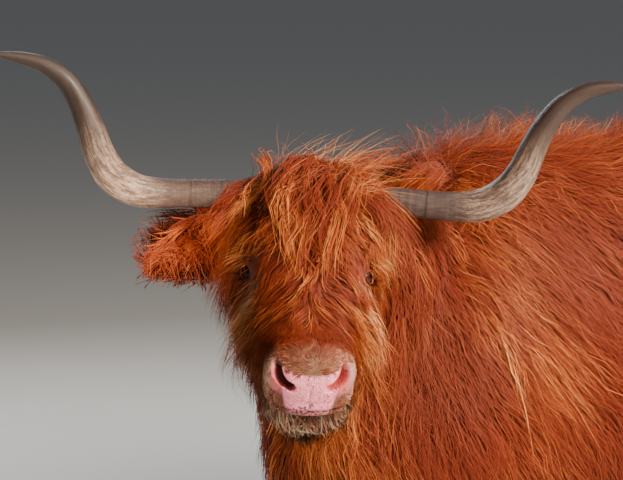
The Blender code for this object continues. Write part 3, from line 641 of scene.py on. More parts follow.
def lid_patch(side, peak, width, thick):
    """A lid: an oval section carried over the eyeball from corner to corner.

    Its edge runs at height peak * (1 - s^2) over the middle of the eye, s from -1 to 1 along it.
    """
    look, ahead, up = eye_axes(side)
    s = np.sin(np.linspace(-0.5, 0.5, 33) * math.pi)
    size = (1 - 0.6 * s**4)[:, None]
    turn = circle(20)
    x = EYE_HALF_LENGTH * s[:, None] * np.ones_like(turn)
    y = peak * (1 - s[:, None] ** 2) + math.copysign(1, peak) * width * size * (1 + np.cos(turn))
    radius = LID_RADIUS + thick * size * np.sin(turn)
    over = np.hypot(x, y)
    bend = np.clip(over / radius, 0, 1.35)
    flat = radius * np.sin(bend) / np.maximum(over, 1e-6)
    lengths = x * flat, y * flat, radius * np.cos(bend)
    return Patch(eye_centre(side) + CM * on_axes((ahead, up, look), lengths))


def round_patch(centre, halves, axes, rows=24, sides=32, depth=0.0):
    """An ellipsoid round centre, its rings square to the first axis."""
    polar = np.linspace(0.04, math.pi - 0.04, rows)[:, None]
    turn = circle(sides)
    along = halves[0] * np.cos(polar) * np.ones_like(turn)
    around = halves[1] * np.sin(polar) * np.cos(turn), halves[2] * np.sin(polar) * np.sin(turn)
    return Patch(centre + CM * on_axes(axes, (along, *around)), depth)


def add_small_patches(made):
    """Lids, the pink corner of each eye, udder and teats."""
    for label, side in SIDES.items():
        made["upper_lid_" + label] = lid_patch(side, 1.25, 0.45, 0.2)
        made["lower_lid_" + label] = lid_patch(side, -0.95, 0.5, 0.22)
        look, ahead, up = eye_axes(side)
        corner = eye_centre(side) + CM * (1.40 * ahead - 0.1 * up + 1.22 * look)
        made["corner_" + label] = round_patch(corner, (0.42, 0.26, 0.24), (ahead, up, look), 12, 14)
    made["udder"] = round_patch(on_body(UDDER_AT), UDDER_HALVES, UPRIGHT, depth=CM * 0.3)
    for x, y in TEATS:
        centre = on_body((1.1 * x, y, 47.0))
        made[f"teat_{x:+.0f}_{y:.0f}"] = round_patch(centre, (4.4, 1.1, 1.1), UPRIGHT, 18, 18)


# --- meshes ------------------------------------------------------------------------------------------
def placed(name, data):
    """A new object at the origin of the scene."""
    made = bpy.data.objects.new(name, data)
    bpy.context.scene.collection.objects.link(made)
    return made


def hand_in(piece, slot, *nodes):
    """Every piece rides on the one body and stands for its solids, which are hidden; slot is not used."""
    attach(piece, "root")
    if nodes:
        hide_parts(*nodes)


def new_object(name, points, faces, material, floats=None, smooth_shaded=True):
    """A mesh object from arrays of points and equal-sided faces, with named numbers on its points."""
    mesh = bpy.data.meshes.new(name)
    mesh.vertices.add(len(points))
    mesh.vertices.foreach_set("co", np.ascontiguousarray(points, np.float32).ravel())
    sides = np.concatenate([np.full(len(group), group.shape[1]) for group in faces])
    corners = np.concatenate([group.ravel() for group in faces]).astype(np.int32)
    mesh.loops.add(len(corners))
    mesh.loops.foreach_set("vertex_index", corners)
    mesh.polygons.add(len(sides))
    mesh.polygons.foreach_set("loop_start", (np.cumsum(sides) - sides).astype(np.int32))
    mesh.update(calc_edges=True)
    mesh.polygons.foreach_set("use_smooth", np.full(len(sides), smooth_shaded))
    for key, values in (floats or {}).items():
        made = mesh.attributes.new(key, "FLOAT", "POINT")
        made.data.foreach_set("value", np.ascontiguousarray(values, np.float32).ravel())
    mesh.materials.append(material)
    return placed(name, mesh)


def tube_faces(patch):
    """Quads of a closed tube and a fan to a point at each end.  The points follow the grid's own."""
    rows, columns = patch.points.shape[:2]
    i, j = np.meshgrid(np.arange(rows - 1), np.arange(columns), indexing="ij")
    after = (j + 1) % columns
    quads = [i * columns + j, i * columns + after, (i + 1) * columns + after, (i + 1) * columns + j]
    quads = np.stack(quads, -1).reshape(-1, 4)
    here, after, last = j[0], after[0], (rows - 1) * columns
    start = np.stack([after, here, np.full(columns, rows * columns)], -1)
    end = np.stack([last + here, last + after, np.full(columns, rows * columns + 1)], -1)
    fans = np.vstack([start, end])
    return (quads, fans) if patch.turned else (quads[:, ::-1], fans[:, ::-1])


def closed_points(grid):
    """A grid's points and the two that close its ends."""
    return np.vstack([grid.reshape(-1, 3), grid[0].mean(axis=0), grid[-1].mean(axis=0)])


def tube_object(name, grid, material, floats=None):
    """A closed tube of a grid of points, with named numbers given on the grid."""
    ends = {}
    for key, values in (floats or {}).items():
        ends[key] = np.concatenate([values.ravel(), [values[0].mean(), values[-1].mean()]])
    return new_object(name, closed_points(grid), tube_faces(Patch(grid)), material, ends)


# --- materials ---------------------------------------------------------------------------------------
def arithmetic(operation, swapped=False):
    """A method of Value that adds one Math node for an operator."""
    def method(self, other):
        return self.maths(operation, *((other, self) if swapped else (self, other)))

    return method


class Value:
    """A number's socket in a material.  Arithmetic on it adds Math nodes."""

    __add__ = __radd__ = arithmetic("ADD")
    __mul__ = __rmul__ = arithmetic("MULTIPLY")
    __sub__, __rsub__ = arithmetic("SUBTRACT"), arithmetic("SUBTRACT", swapped=True)
    __pow__ = arithmetic("POWER")

    def __init__(self, tree, socket):
        self.tree, self.socket = tree, socket

    def maths(self, operation, *values):
        """A Math node's result."""
        node = self.tree.nodes.new("ShaderNodeMath")
        node.operation = operation
        for slot, value in zip(node.inputs, values):
            plug(self.tree, slot, value)
        return Value(self.tree, node.outputs[0])


def plug(tree, slot, value):
    """Gives a socket a link, a colour, a vector or a number."""
    if isinstance(value, Value):
        tree.links.new(value.socket, slot)
    elif slot.type == "RGBA":
        slot.default_value = (*tuple(value)[:3], 1.0)
    elif slot.type == "VECTOR":
        slot.default_value = tuple(value)
    else:
        slot.default_value = value


class Finish:
    """A material round one Principled shader, built up by expressions."""

    def __init__(self, name, **fixed):
        self.material = bpy.data.materials.new(name)
        self.material.use_nodes = True
        self.tree = self.material.node_tree
        self.shader = self.tree.nodes["Principled BSDF"]
        self.set(**fixed)

    def set(self, **sockets):
        """Plugs values into the shader's sockets by name."""
        for key, value in sockets.items():
            plug(self.tree, self.shader.inputs[key.replace("_", " ")], value)

    def node(self, kind, settings=None, output=0, **sockets):
        """Any node: its type, its settings, then its sockets by name or by number as s0, s1 and so on."""
        node = self.tree.nodes.new("ShaderNode" + kind)
        for key, value in (settings or {}).items():
            setattr(node, key, value)
        for key, value in sockets.items():
            numbered = key[0] == "s" and key[1:].isdigit()
            plug(self.tree, node.inputs[int(key[1:]) if numbered else key.replace("_", " ")], value)
        return Value(self.tree, node.outputs[output])

    def places(self, stretch=(1.0, 1.0, 1.0)):
        """Object coordinates, stretched."""
        plain = self.node("TexCoord", output=3)
        return self.node("VectorMath", {"operation": "MULTIPLY"}, s0=plain, s1=stretch)

    def numbers(self, *names):
        """The mesh's numbers by their names."""
        return [self.node("Attribute", {"attribute_name": name}, output=2) for name in names]

    def noise(self, scale, detail=3.0, rough=0.55, at=None):
        """Noise from 0 to 1, with about this many waves to a metre."""
        at = at or self.places()
        return self.node("TexNoise", Vector=at, Scale=scale, Detail=detail, Roughness=rough)

    def mix(self, factor, first, second):
        """A colour between two."""
        return self.node("Mix", {"data_type": "RGBA"}, output=2, s0=factor, s6=first, s7=second)

    def layers(self, colour, *coats):
        """A colour with others laid over it, each given by its cover and its own colour."""
        for cover, over in coats:
            colour = self.mix(cover, colour, over)
        return colour

    def step(self, value, low, high):
        """0 below low, 1 above high."""
        return self.node("MapRange", {"interpolation_type": "SMOOTHSTEP"}, s0=value, s1=low, s2=high)

    def bump(self, height, strength, distance):
        """A normal tilted by the slope of a height, in metres at the distance given."""
        return self.node("Bump", Height=height, Strength=strength, Distance=distance)


def colours():
    """The scene's colours of the animal."""
    return bpy.context.scene.cow_colours


def sizes():
    """The scene's sizes of the animal."""
    return bpy.context.scene.cow_sizes


def coat_colour(finish, shade, along, cream, tan):
    """The coat's colour: darkened to deep at the root as painted shade between the tufts, russet, then gold
    and blond on bleached strands' tips.
    """
    mix, step, tones = finish.mix, finish.step, colours()
    bleach = step(shade + 0.5 * finish.noise(5.0, 3.0) + 0.25 * along, 0.90, 1.45)
    # Painted shade: each tuft darkens to deep near its root.
    body = mix(step(along + 0.5 * shade, 0.0, 0.75), tones.deep, tones.russet)
    gold = mix(bleach * step(along, 0.0, 0.55), body, tones.gold)
    tips = mix(step(shade + 0.35 * along, 1.15, 1.45), gold, tones.blond)
    fur = mix(step(0.6 * along + 0.8 * shade, 0.15, 0.95), CREAM_ROOT, tones.cream)
    brown = mix(step(0.6 * along + shade, 0.30, 1.25), TAN_ROOT, TAN_TIP)
    return mix(tan, mix(cream, tips, fur), brown)


def coat_finish(name):
    """Hair: the coat's colour down each tuft, glossier towards its tip."""
    finish = Finish(name, Specular_IOR_Level=0.18)
    shade, along, cream, tan = finish.numbers("shade", "along", "cream", "tan")
    finish.set(Base_Color=coat_colour(finish, shade, along, cream, tan), Roughness=0.70 - 0.2 * along)
    return finish.material


def hide_finish(name):
    """Hide under the coat, in the coat's colours darkened with painted shade, and bare pink skin on nose,
    lids and udder, with painted shade in the nostrils and along the lips' line.
    """
    finish = Finish(name, Specular_IOR_Level=0.4)
    noise, step, tones = finish.noise, finish.step, colours()
    names = ("bare", "cream", "tan", "flush", "hollow", "lip", "line")
    bare, cream, tan, flush, hollow, lip, line = finish.numbers(*names)
    short = noise(900.0, 2.0, at=finish.places((1.0, 1.0, 0.35)))
    # Painted shade: the skin under the coat takes the coat's dark root colour, so the gaps between tufts
    # read as shaded.
    hair = coat_colour(finish, 0.2 + 0.3 * short, 0.25 + 0.3 * short, cream, tan)
    pores = finish.node("TexVoronoi", Vector=finish.places(), Scale=330.0)
    creases = noise(120.0, 4.0)
    specks = step(noise(190.0, 1.0) + 0.16 * lip, 0.61, 0.66)
    specks = specks * step(noise(40.0, 2.0) + 0.3 * lip, 0.45, 0.6)
    pink = finish.layers(
        tones.nose,
        (step(creases, 0.4, 0.75) * 0.45, tones.flush),
        (step(noise(45.0, 3.0), 0.45, 0.75) * 0.35, MOTTLED_PINK),
        (flush * 0.95, tones.flush),
        (step(lip, 0.38, 0.90) * 0.75, LIP_BROWN),
        (specks * 0.9, tones.freckle),
        # Painted shade along the line where the lips meet.
        (step(line, 0.35, 0.85) * 0.9, tones.freckle),
        (step(hollow, 0.1, 0.5) * 0.9, HOLLOW_RED),
        # Painted shade deep inside each nostril.
        (step(hollow, 0.5, 0.98) * 0.95, PAINTED_NOSTRIL_SHADE),
    )
    finish.set(Base_Color=finish.mix(bare, hair, pink), Roughness=0.75 - bare * 0.42 + 0.15 * pores)
    finish.set(Normal=finish.bump((pores + 0.8 * creases) * bare + short * (1.0 - bare), 0.7, 0.0020))
    return finish.material


def horn_finish(name):
    """Horn: grey-brown with streaks along it, worn pale in blotches at the middle, darker with fine rings
    and one crack near the base, and dark towards the tip."""
    finish = Finish(name, Specular_IOR_Level=0.35, Coat_Weight=0.08, Coat_Roughness=0.25)
    mix, step, noise, tones = finish.mix, finish.step, finish.noise, colours()
    along, turn_x, turn_y = finish.numbers("along", "turn_x", "turn_y")
    flow = finish.node("CombineXYZ", X=turn_x * 0.9, Y=turn_y * 0.9, Z=along * 3.0)
    streak, fine = noise(9.0, 6.0, 0.65, at=flow), noise(38.0, 4.0, 0.6, at=flow)
    wobble = noise(4.0, 2.0, at=flow)
    rings = finish.node("TexNoise", {"noise_dimensions": "1D"}, W=along * 150.0 + wobble * 3.0, Detail=2.0)
    near = 1.0 - step(along + 0.1 * streak, 0.22, 0.40)
    middle = step(along + 0.12 * streak, 0.20, 0.36) * (1.0 - step(along + 0.2 * streak, 0.55, 0.82))
    blotch = step(noise(5.5, 6.0, 0.7, at=flow), 0.42, 0.60)
    pale = mix(step(fine, 0.38, 0.66), tones.horn, WORN_HORN)
    crack = 1.0 - step(((along + 0.006 * wobble - 0.118) ** 2.0) * 60000.0, 0.4, 1.4)
    colour = finish.layers(
        mix(step(streak, 0.38, 0.72), tones.horn_dark, tones.horn),
        (middle * (0.15 + 0.85 * blotch), pale),
        (near * (0.4 + 0.4 * streak), HORN_BASE),
        (step(rings, 0.50, 0.62) * near * 0.7, tones.horn_dark),
        (crack * 0.8, HORN_CRACK),
        (step(along + 0.12 * streak, 0.52, 0.76) * 0.96, tones.horn_dark),
    )
    finish.set(Base_Color=colour, Roughness=0.32 + 0.25 * fine + 0.12 * near)
    finish.set(Normal=finish.bump(fine * 0.5 + rings * near + streak * 0.4 - crack, 0.6, 0.0016))
    return finish.material


def claw_finish(name):
    """Claw horn: dark, with level growth rings and a scuffed lower edge."""
    finish = Finish(name)
    grain = finish.noise(40.0, 5.0, at=finish.places((1.0, 1.0, 9.0)))
    scuff = finish.noise(26.0, 4.0)
    height = finish.node("SeparateXYZ", output=2, Vector=finish.places())
    worn = finish.step(scuff - height * 9.0, 0.30, 0.62)
    grained = (finish.step(grain, 0.4, 0.7) * 0.6, CLAW_GRAIN)
    colour = finish.layers(colours().hoof, grained, (worn * 0.6, CLAW_SCUFF))
    finish.set(Base_Color=colour, Roughness=0.42 + 0.3 * scuff)
    finish.set(Normal=finish.bump(grain + 0.4 * scuff, 0.6, 0.001))
    return finish.material


def eye_finish(name):
    """A wet dark eye: a brown iris round a level oval pupil, in a dark brown rim."""
    finish = Finish(name, Roughness=0.07, Specular_IOR_Level=0.12)
    iris, pupil = finish.numbers("iris", "pupil")
    brown = finish.mix(finish.noise(500.0, 3.0) * 0.7, colours().eye, IRIS_FIBRE)
    rim = finish.mix(finish.noise(150.0, 3.0) * 0.6, RIM_PALE, RIM_DARK)
    colour = finish.mix(finish.step(iris, 0.95, 1.05), brown, rim)
    finish.set(Base_Color=finish.mix(finish.step(pupil, 0.9, 1.1), PUPIL_BLACK, colour))
    return finish.material


def studio_floor(name):
    """A matt studio floor with a faint cloudiness."""
    finish = Finish(name, Roughness=0.85, Specular_IOR_Level=0.2)
    finish.set(Base_Color=finish.mix(finish.noise(3.0, 2.0) * 0.08, colours().floor, FLOOR_CLOUD))
    return finish.material


FINISHES = {}


def finish_of(build):
    """The material of a finish, made once."""
    name = build.__name__.replace("_", " ")
    if name not in FINISHES:
        FINISHES[name] = build(name)
    return FINISHES[name]


# --- skin --------------------------------------------------------------------------------------------
PATCHES = {}
# How bare and how red the skin of the small parts is, by the start of their names.
BARE_PARTS = {"upper_lid": (0.12, 0.9), "lower_lid": (0.25, 0.9), "corner": (1.0, 1.0),
              "udder": (0.35, 0.05), "teat": (1.0, 0.2)}


def leg_knots(label):
    """A leg's knots and the side that it is on."""
    return FORELEG if label.startswith("fore") else HINDLEG, SIDES[label.split("_")[1]]


def patches():
    """Every tube of the skin by name, made once."""
    if not PATCHES:
        PATCHES["body"] = make_body_patch()
        for label in LEGS:
            PATCHES["leg_" + label] = limb_patch(*leg_knots(label), STRIDE[label])
        PATCHES["tail"] = limb_patch(TAIL, sides=24)
        for label in SIDES:
            PATCHES["ear_" + label] = ear_patch(label)
        add_small_patches(PATCHES)
    return PATCHES


def patch_shell(name, patch):
    """One patch as a closed shell of its own, with its markings on its points."""
    shell = closed_points(patch.points)
    marks = head_marks(shell)
    for part, (bare, flush) in BARE_PARTS.items():
        if name.startswith(part):
            marks = {key: np.zeros(len(shell)) for key in marks}
            marks["bare"] += bare
            marks["flush"] += flush
    return new_object("shell_" + name, shell, tube_faces(patch), finish_of(hide_finish), marks)


def make_skin():
    """The union of all the patches: one closed mesh without seams, with the markings on its points."""
    shells = {name: patch_shell(name, patch) for name, patch in patches().items()}
    body = shells["body"]
    for name, shell in shells.items():
        if name != "body":
            union = body.modifiers.new(name, "BOOLEAN")
            union.operation, union.solver, union.object = "UNION", "MANIFOLD", shell
    whole = body.evaluated_get(bpy.context.evaluated_depsgraph_get())
    mesh = bpy.data.meshes.new_from_object(whole)
    mesh.name = "skin"
    mesh.materials.clear()
    mesh.materials.append(finish_of(hide_finish))
    mesh.polygons.foreach_set("material_index", np.zeros(len(mesh.polygons), np.int32))
    mesh.polygons.foreach_set("use_smooth", np.ones(len(mesh.polygons), bool))
    for shell in shells.values():
        bpy.data.objects.remove(shell)
    flesh = ["head", "neck", "trunk", "forelock", "ear_left", "ear_right", "udder", "tail", "tail_switch"]
    flesh += [part + label for part in ("leg_", "shank_") for label in LEGS]
    hand_in(placed("skin", mesh), "coat", *flesh)


# --- coat --------------------------------------------------------------------------------------------
# One piece of the coat.  rows and turns say where it grows: stations from first to last, and turns from
# the crest towards the left.  length is in centimetres and width in millimetres.  lie is the pull
# backwards, away from the crest, and down.  steps counts the points along a tuft.  rise is how much of
# the coat's depth the tips reach, from and to; wave the width of its waves and clump the spacing of its
# locks, in centimetres; mess how far the locks stray, in radians.  bleach makes the piece paler or darker.
Coat = namedtuple("Coat", "name patch rows turns count length width lie steps rise wave clump mess bleach",
                  defaults=(5, (0.4, 1.1), 0.7, 3.2, 0.25, 0.0))
ALL_ROUND, LEFT, RIGHT = (0.0, 1.0), (0.0, 0.5), (0.5, 1.0)
# Side of the patch of a baked picture that each tuft takes, and the edge left round them all.
BAKE_PATCH, BAKE_EDGE = 0.003, 0.01
MILLIMETRE = 0.001
# In metres: how deep a tuft's root is set, how far its tip clears the coat's depth, and how far the head's
# markings stray from tuft to tuft.  In centimetres: a wave's length, and the hang of hair under the chin.
ROOT_DEPTH, TIP_CLEARANCE, MARK_STRAY = 0.001, 0.0015, 0.014
WAVE_LENGTH, CHIN_HANG = 8.0, 4.2
# The rounded mass that each ear's hair fills, in the head's frame: its middle, and its half sizes along
# the three ways below, out to the side, down over the face and out of it, in centimetres.
EAR_MASSES = {
    "ear_right": ((-21.6, -13.3, -5.4), (7.8, 9.8, 6.6)),
    "ear_left": ((19.5, -20.0, 1.0), (7.5, 7.0, 5.5)),
}
FACE_WAYS = np.array([[1.0, 0.0, 0.0], [0.0, 0.629, -0.777], [0.0, 0.777, 0.629]])
# Where the tips fan out from, in half sizes of the mass from its middle.
EAR_FAN = np.array([0.05, 0.14, 0.0])


def scatter(cells):
    """A number from 0 to 1 for each cell of whole numbers, always the same for the same cell."""
    mixed = np.sin((cells * np.array([127.1, 311.7, 74.7])).sum(-1)) * 43758.5453
    return mixed - np.floor(mixed)


def drift(points, size, seed):
    """A slow swing from about -1 to 1 over space: the sum of three products of sine and cosine, size
    across, over 1.8."""
    random = np.random.default_rng(seed)
    total = 0.0
    for _ in range(3):
        a, b = unit(random.normal(size=(2, 3))) * (2 * math.pi / size) * (0.6 + 0.8 * random.random())
        first = np.sin(points @ a + 6.0 * random.random())
        total = total + first * np.cos(points @ b + 6.0 * random.random())
    return total / 1.8


def locks(points, spacing):
    """The lock that each root belongs to: the nearest of the centres strewn one to a cell of space."""
    home = np.floor(points / spacing)
    best = np.full(len(points), np.inf)
    centre, name = np.zeros_like(points), np.zeros_like(points)
    for offset in np.ndindex(3, 3, 3):
        cell = home + np.array(offset) - 1
        at = (cell + np.stack([scatter(cell), scatter(cell + 17.0), scatter(cell + 41.0)], -1)) * spacing
        away = ((at - points) ** 2).sum(-1)
        near = away < best
        best[near] = away[near]
        centre[near], name[near] = at[near], cell[near]
    return centre, name


def combing(coat, swing, columns):
    """The wanted direction: backwards along the body, away from the crest, and down with gravity, then
    swung over the skin.  Fur by the muzzle turns back from the nose."""
    back, aside, fall = coat.lie

    def way(points, along, around, normal, v):
        """The three pulls added up, laid in the skin and turned by the swing."""
        turn = (v % columns) / columns
        away = np.clip(3.0 * np.sin(2 * math.pi * turn) + 0.9 * drift(points, 0.05, 23), -1, 1)[:, None]
        pull = np.full(len(points), back)
        if coat.patch == "body" and coat.rows[0] < MUZZLE_STATIONS:
            pull = pull + 1.3 * smooth(to_head(points)[:, 1], 19.5, 24.0)
        want = pull[:, None] * unit(along) + aside * away * unit(around) - fall * UP
        heading = unit(want - dot(want, normal) * normal)
        return np.cos(swing) * heading + np.sin(swing) * np.cross(normal, heading)

    return way


def shortening(points):
    """How long hair is on the head beside elsewhere: short round the eyes, and on the muzzle but not
    under the chin."""
    m = halved(points)
    forward, up = m[..., 1], m[..., 2]
    eye = smooth(ovals_out(m, (10.0, 2.6, -0.5), (5.5, 5.4, 2.6)), 0.55, 1.6)
    muzzle = smooth(forward, 12.0, 22.0) * smooth(up, -10.5, -7.5) * fade(forward, 31.0, 33.0)
    return (0.12 + 0.88 * eye) * (1 - 0.72 * muzzle)


def lit_fur(points):
    """Painted light and shade on the fur by place: painted sunlight on the cheeks under the eyes and down
    the nose, a paler band from the neck over the shoulder, and painted shade behind the elbow."""
    m = halved(points)
    cheek = blob(m, (8.3, 7.5, -0.2), (2.8, 6.5, 4.4))
    nose = blob(m, (0.0, 8.0, 6.0), (4.5, 9.0, 4.0))
    p = points.copy()
    p[..., 0] = np.abs(p[..., 0])
    band = np.exp(-(from_line(p, BAND_TOP, BAND_LOW)[1] ** 2).sum(-1) / BAND_WIDTH**2)
    return 0.8 * cheek + 0.3 * nose + 0.32 * band - 0.35 * blob(p, (0.16, -0.06, 0.70), (0.14, 0.16, 0.18))


def near_eyes(points):
    """1 round the eyes, where the finest coat grows, and 0 elsewhere."""
    return fade(ovals_out(halved(points), (9.2, 2.6, 0.2), (4.0, 6.5, 3.8)), 0.8, 1.1)


def chin_share(points):
    """1 under the chin, where hair hangs clear of the skin, and 0 elsewhere."""
    out, forward, up = np.moveaxis(halved(points), -1, 0)
    near = fade(out, 6.0, 9.0) * fade(forward, 27.0, 29.0)
    return near * fade(up, -9.0, -7.6) * smooth(forward, 12.0, 18.0)


def growth(points):
    """Where hair grows: not on eyeballs or bare skin."""
    eye = ovals_out(halved(points), (10.3, 1.2, 0.1), (2.4, 2.0, 1.25))
    return smooth(eye, 0.95, 1.1) * fade(head_marks(points)["bare"], 0.2, 0.6)


def rounded(curve, label, random):
    """Hair of an ear carried out so that its tips end on the ear's rounded mass, give or take: each point
    goes out by t^1.3 of what the tip does.  Gives the curves and outward directions to shade them by."""
    middle, halves = (np.array(row) for row in EAR_MASSES[label])
    away = (to_head(curve) - middle) @ FACE_WAYS.T / halves
    tip = unit(away[:, -1] - EAR_FAN) * random.uniform(0.72, 1.04, (len(curve), 1))
    tip = on_head(middle + (tip * halves) @ FACE_WAYS)
    t = np.linspace(0, 1, curve.shape[1])[None, :, None]
    curve = curve + t**1.3 * (tip - curve[:, -1])[:, None]
    return curve, unit(curve - on_head(middle - 8.0 * FACE_WAYS[2]))


def tuft_faces(steps):
    """Triangles of one tuft: its root, three sides of each length, and its tip."""
    faces = [(0, 1, 2)]
    for ring in range(steps - 2):
        for edge in range(3):
            a, b = 3 * ring + edge, 3 * ring + (edge + 1) % 3
            faces += [(a, b + 3, b), (a, a + 3, b + 3)]
    last = 3 * (steps - 2)
    faces += [(last + edge, last + 3, last + (edge + 1) % 3) for edge in range(3)]
    return np.array(faces)


def parted(curve):
    """Which tufts leave the eyes free: none of their points lie in front of an eye or of its tear line."""
    m = halved(curve)
    ahead, aside = unit(PARTING_WAY), np.array([1.0, 0.0, 0.0])
    aside = unit(aside - (aside @ ahead) * ahead)
    over = np.cross(aside, ahead)

    def inside(place, opening, nearest, widening):
        """Which points lie in an oval tube that leads out from a place, wider by a share of its reach."""
        away = m - place
        reach = away @ ahead
        out = np.hypot((away @ aside) / opening[0], (away @ over) / opening[1])
        return (out < 1 + widening * reach) & (reach > nearest) & (reach < PARTING_REACH)

    blocked = inside(np.array(EYE_AT) + 1.6 * unit(EYE_LOOK), EYE_OPEN, -0.4, 0.03)
    return ~(blocked | inside(np.array(TEAR_AT), TEAR_OPEN, 1.0, 0.0)).any(axis=1)


def tuft_mesh(name, curve, normals, width, numbers, bake_at, outward=None):
    """Three-sided tapering tufts along the curves: a ridge and two edges, closed at root and tip.

    The width swells from the root and runs out to nothing: w(t) = width * (0.55 + 1.6 t) (1 - t)^0.8.
    """
    keep = parted(curve) if name != "lashes" else np.ones(len(curve), bool)
    outward = (normals if outward is None else outward)[keep]
    curve, normals, width, bake_at = curve[keep], normals[keep], width[keep], bake_at[keep]
    count, steps = curve.shape[:2]
    t = np.linspace(0, 1, steps)
    heading = unit(np.gradient(curve, axis=1))
    side = unit(np.cross(normals, heading))
    up = np.cross(heading, side)
    swell = (0.55 + 1.6 * t[:-1]) * (1 - t[:-1]) ** 0.8
    wide = (width[:, None] * swell)[..., None]
    body, across = curve[:, :-1], 0.5 * wide * side[:, :-1]
    rings = np.stack([body - across, body + 0.25 * wide * up[:, :-1], body + across], axis=2)
    points = np.concatenate([rings.reshape(count, -1, 3), curve[:, -1:]], axis=1)
    facing = unit(1.2 * outward + up)
    bent = np.stack([facing - 0.7 * side, facing, facing + 0.7 * side], axis=2)[:, :-1]
    bent = unit(np.concatenate([bent.reshape(count, -1, 3), facing[:, -1:]], axis=1)).reshape(-1, 3)
    per = 3 * (steps - 1) + 1
    faces = (np.arange(count)[:, None, None] * per + tuft_faces(steps)).reshape(-1, 3)
    along = np.append(np.repeat(t[:-1], 3), 1.0)
    numbers = {key: np.repeat(values[keep], per) for key, values in numbers.items()}
    numbers["along"] = np.tile(0.3 + 0.7 * along if name.startswith("forelock") else along, count)
    made = new_object(name, points.reshape(-1, 3), [faces], finish_of(coat_finish), numbers)
    made.data.normals_split_custom_set_from_vertices(bent.astype(np.float32))
    edges = np.append(np.tile([0.0, 0.5, 1.0], steps - 1), 0.5)
    spots = (bake_at[:, None] + np.stack([edges - 0.5, along - 0.5], -1) * BAKE_PATCH).reshape(-1, 2)
    uv = made.data.uv_layers.new(name="OFBake")
    uv.data.foreach_set("uv", np.ascontiguousarray(spots[faces.ravel()], np.float32).ravel())
    hand_in(made, "coat")


def bake_spots(across, up):
    """Places in the baked picture, from two numbers from 0 to 1 for each tuft."""
    return BAKE_EDGE + (1 - 2 * BAKE_EDGE) * np.stack([across, up], -1)


def plain(shade):
    """The numbers of tufts in the coat's own colours."""
    return {"shade": shade, "cream": np.zeros_like(shade), "tan": np.zeros_like(shade)}


def root_density(coat, patch):
    """How densely one piece of the coat grows on its patch: denser where hair is shorter."""
    columns = patch.points.shape[1]
    turns = (np.arange(columns) + 0.5) / columns
    inside = ((patch.station >= coat.rows[0]) & (patch.station < coat.rows[1]))[:, None]
    inside = inside * (((turns - coat.turns[0]) % 1.0) < (coat.turns[1] - coat.turns[0]))[None]
    density = inside * growth(patch.points) / np.clip(shortening(patch.points), 0.35, 1)
    return density * near_eyes(patch.points) if coat.name == "coat_eyes" else density


def make_coat(coat, seed):
    """Grows one piece of the coat from the skin.

    Each tuft runs over the skin along the lie of the coat, and its height over it is reach * t^0.7, with
    waves across and up that grow with t, drawn in to its lock's middle as t^1.2.
    """
    random = np.random.default_rng(seed)
    patch = patches()[coat.patch]
    rows, columns = patch.points.shape[:2]
    count = int(coat.count * sizes().coat_amount * (1.0))
    u, v = patch.roots(count, root_density(coat, patch), random)
    root = patch.at(patch.points, u, v)
    centre, lock = locks(root, CM * coat.clump)
    chance = [scatter(lock + shift) for shift in (3.0, 29.0, 57.0, 83.0)]
    short, chin = shortening(root), chin_share(root)
    shade = 0.5 + 0.5 * (chance[0] - 0.5) + 0.4 * (random.random(count) - 0.5) + 0.3 * drift(root, 0.5, 5)
    # Painted sunlight on cheeks and nose, the pale band and painted shade behind the elbow go into each
    # tuft's shade.
    shade = shade + lit_fur(root) + 0.3 * chin
    depth = patch.at(patch.depth, u, v) * short * sizes().coat_length * (1 + 0.22 * drift(root, 0.16, 11))
    length = CM * coat.length * sizes().coat_length * short * (0.7 + 0.6 * chance[1])
    length = length * (0.75 + 0.5 * random.random(count))
    if coat.patch in EAR_MASSES:
        length = length * (1 - 0.2 * smooth(u / rows, 0.6, 1.0))
    swing = coat.mess * (2 * chance[2] - 1) + 0.2 * coat.mess * random.normal(size=count)
    swing = swing + 0.9 * coat.mess * drift(root, 0.22, 3)
    skin, normals, headings = patch.trace(u, v, combing(coat, swing[:, None], columns), length, coat.steps)
    t = np.linspace(0, 1, coat.steps)[None]
    low, high = coat.rise
    reach = depth * (low + (high - low) * (0.5 * chance[3] + 0.5 * random.random(count)))
    reach = reach + CM * CHIN_HANG * chin * (0.3 + 0.7 * random.random(count))
    height = (reach[:, None] + TIP_CLEARANCE) * t**0.7 - ROOT_DEPTH
    phase = 2 * math.pi * (chance[1] + 0.12 * random.random(count))[:, None]
    turned = (length / (CM * WAVE_LENGTH))[:, None] * 2 * math.pi * t + phase
    wave = CM * coat.wave * short[:, None] * t
    gather = (centre - root)[:, None] * (0.5 * t**1.2)[..., None]
    gather = gather - dot(gather, normals) * normals
    curve = skin + (height + 0.5 * wave * np.cos(turned))[..., None] * normals
    curve = curve + (wave * np.sin(turned))[..., None] * np.cross(normals, headings) + gather
    curve[..., 2] = np.maximum(curve[..., 2], LOWEST_HAIR)
    outward = normals
    if coat.patch in EAR_MASSES:
        curve, outward = rounded(curve, coat.patch, random)
    width = MILLIMETRE * coat.width * (0.7 + 0.6 * random.random(count)) * (0.55 + 0.45 * short)
    station = np.interp(u, np.arange(rows), patch.station)
    station = np.clip((station - coat.rows[0]) / (coat.rows[1] - coat.rows[0]), 0, 1)
    marks = head_marks(root + MARK_STRAY * random.normal(size=root.shape))
    numbers = {"shade": np.clip(shade + coat.bleach, 0, 1.3), "cream": marks["cream"], "tan": marks["tan"]}
    spots = bake_spots((v % columns) / columns, station)
    tuft_mesh(coat.name, curve, normals, width, numbers, spots, outward)


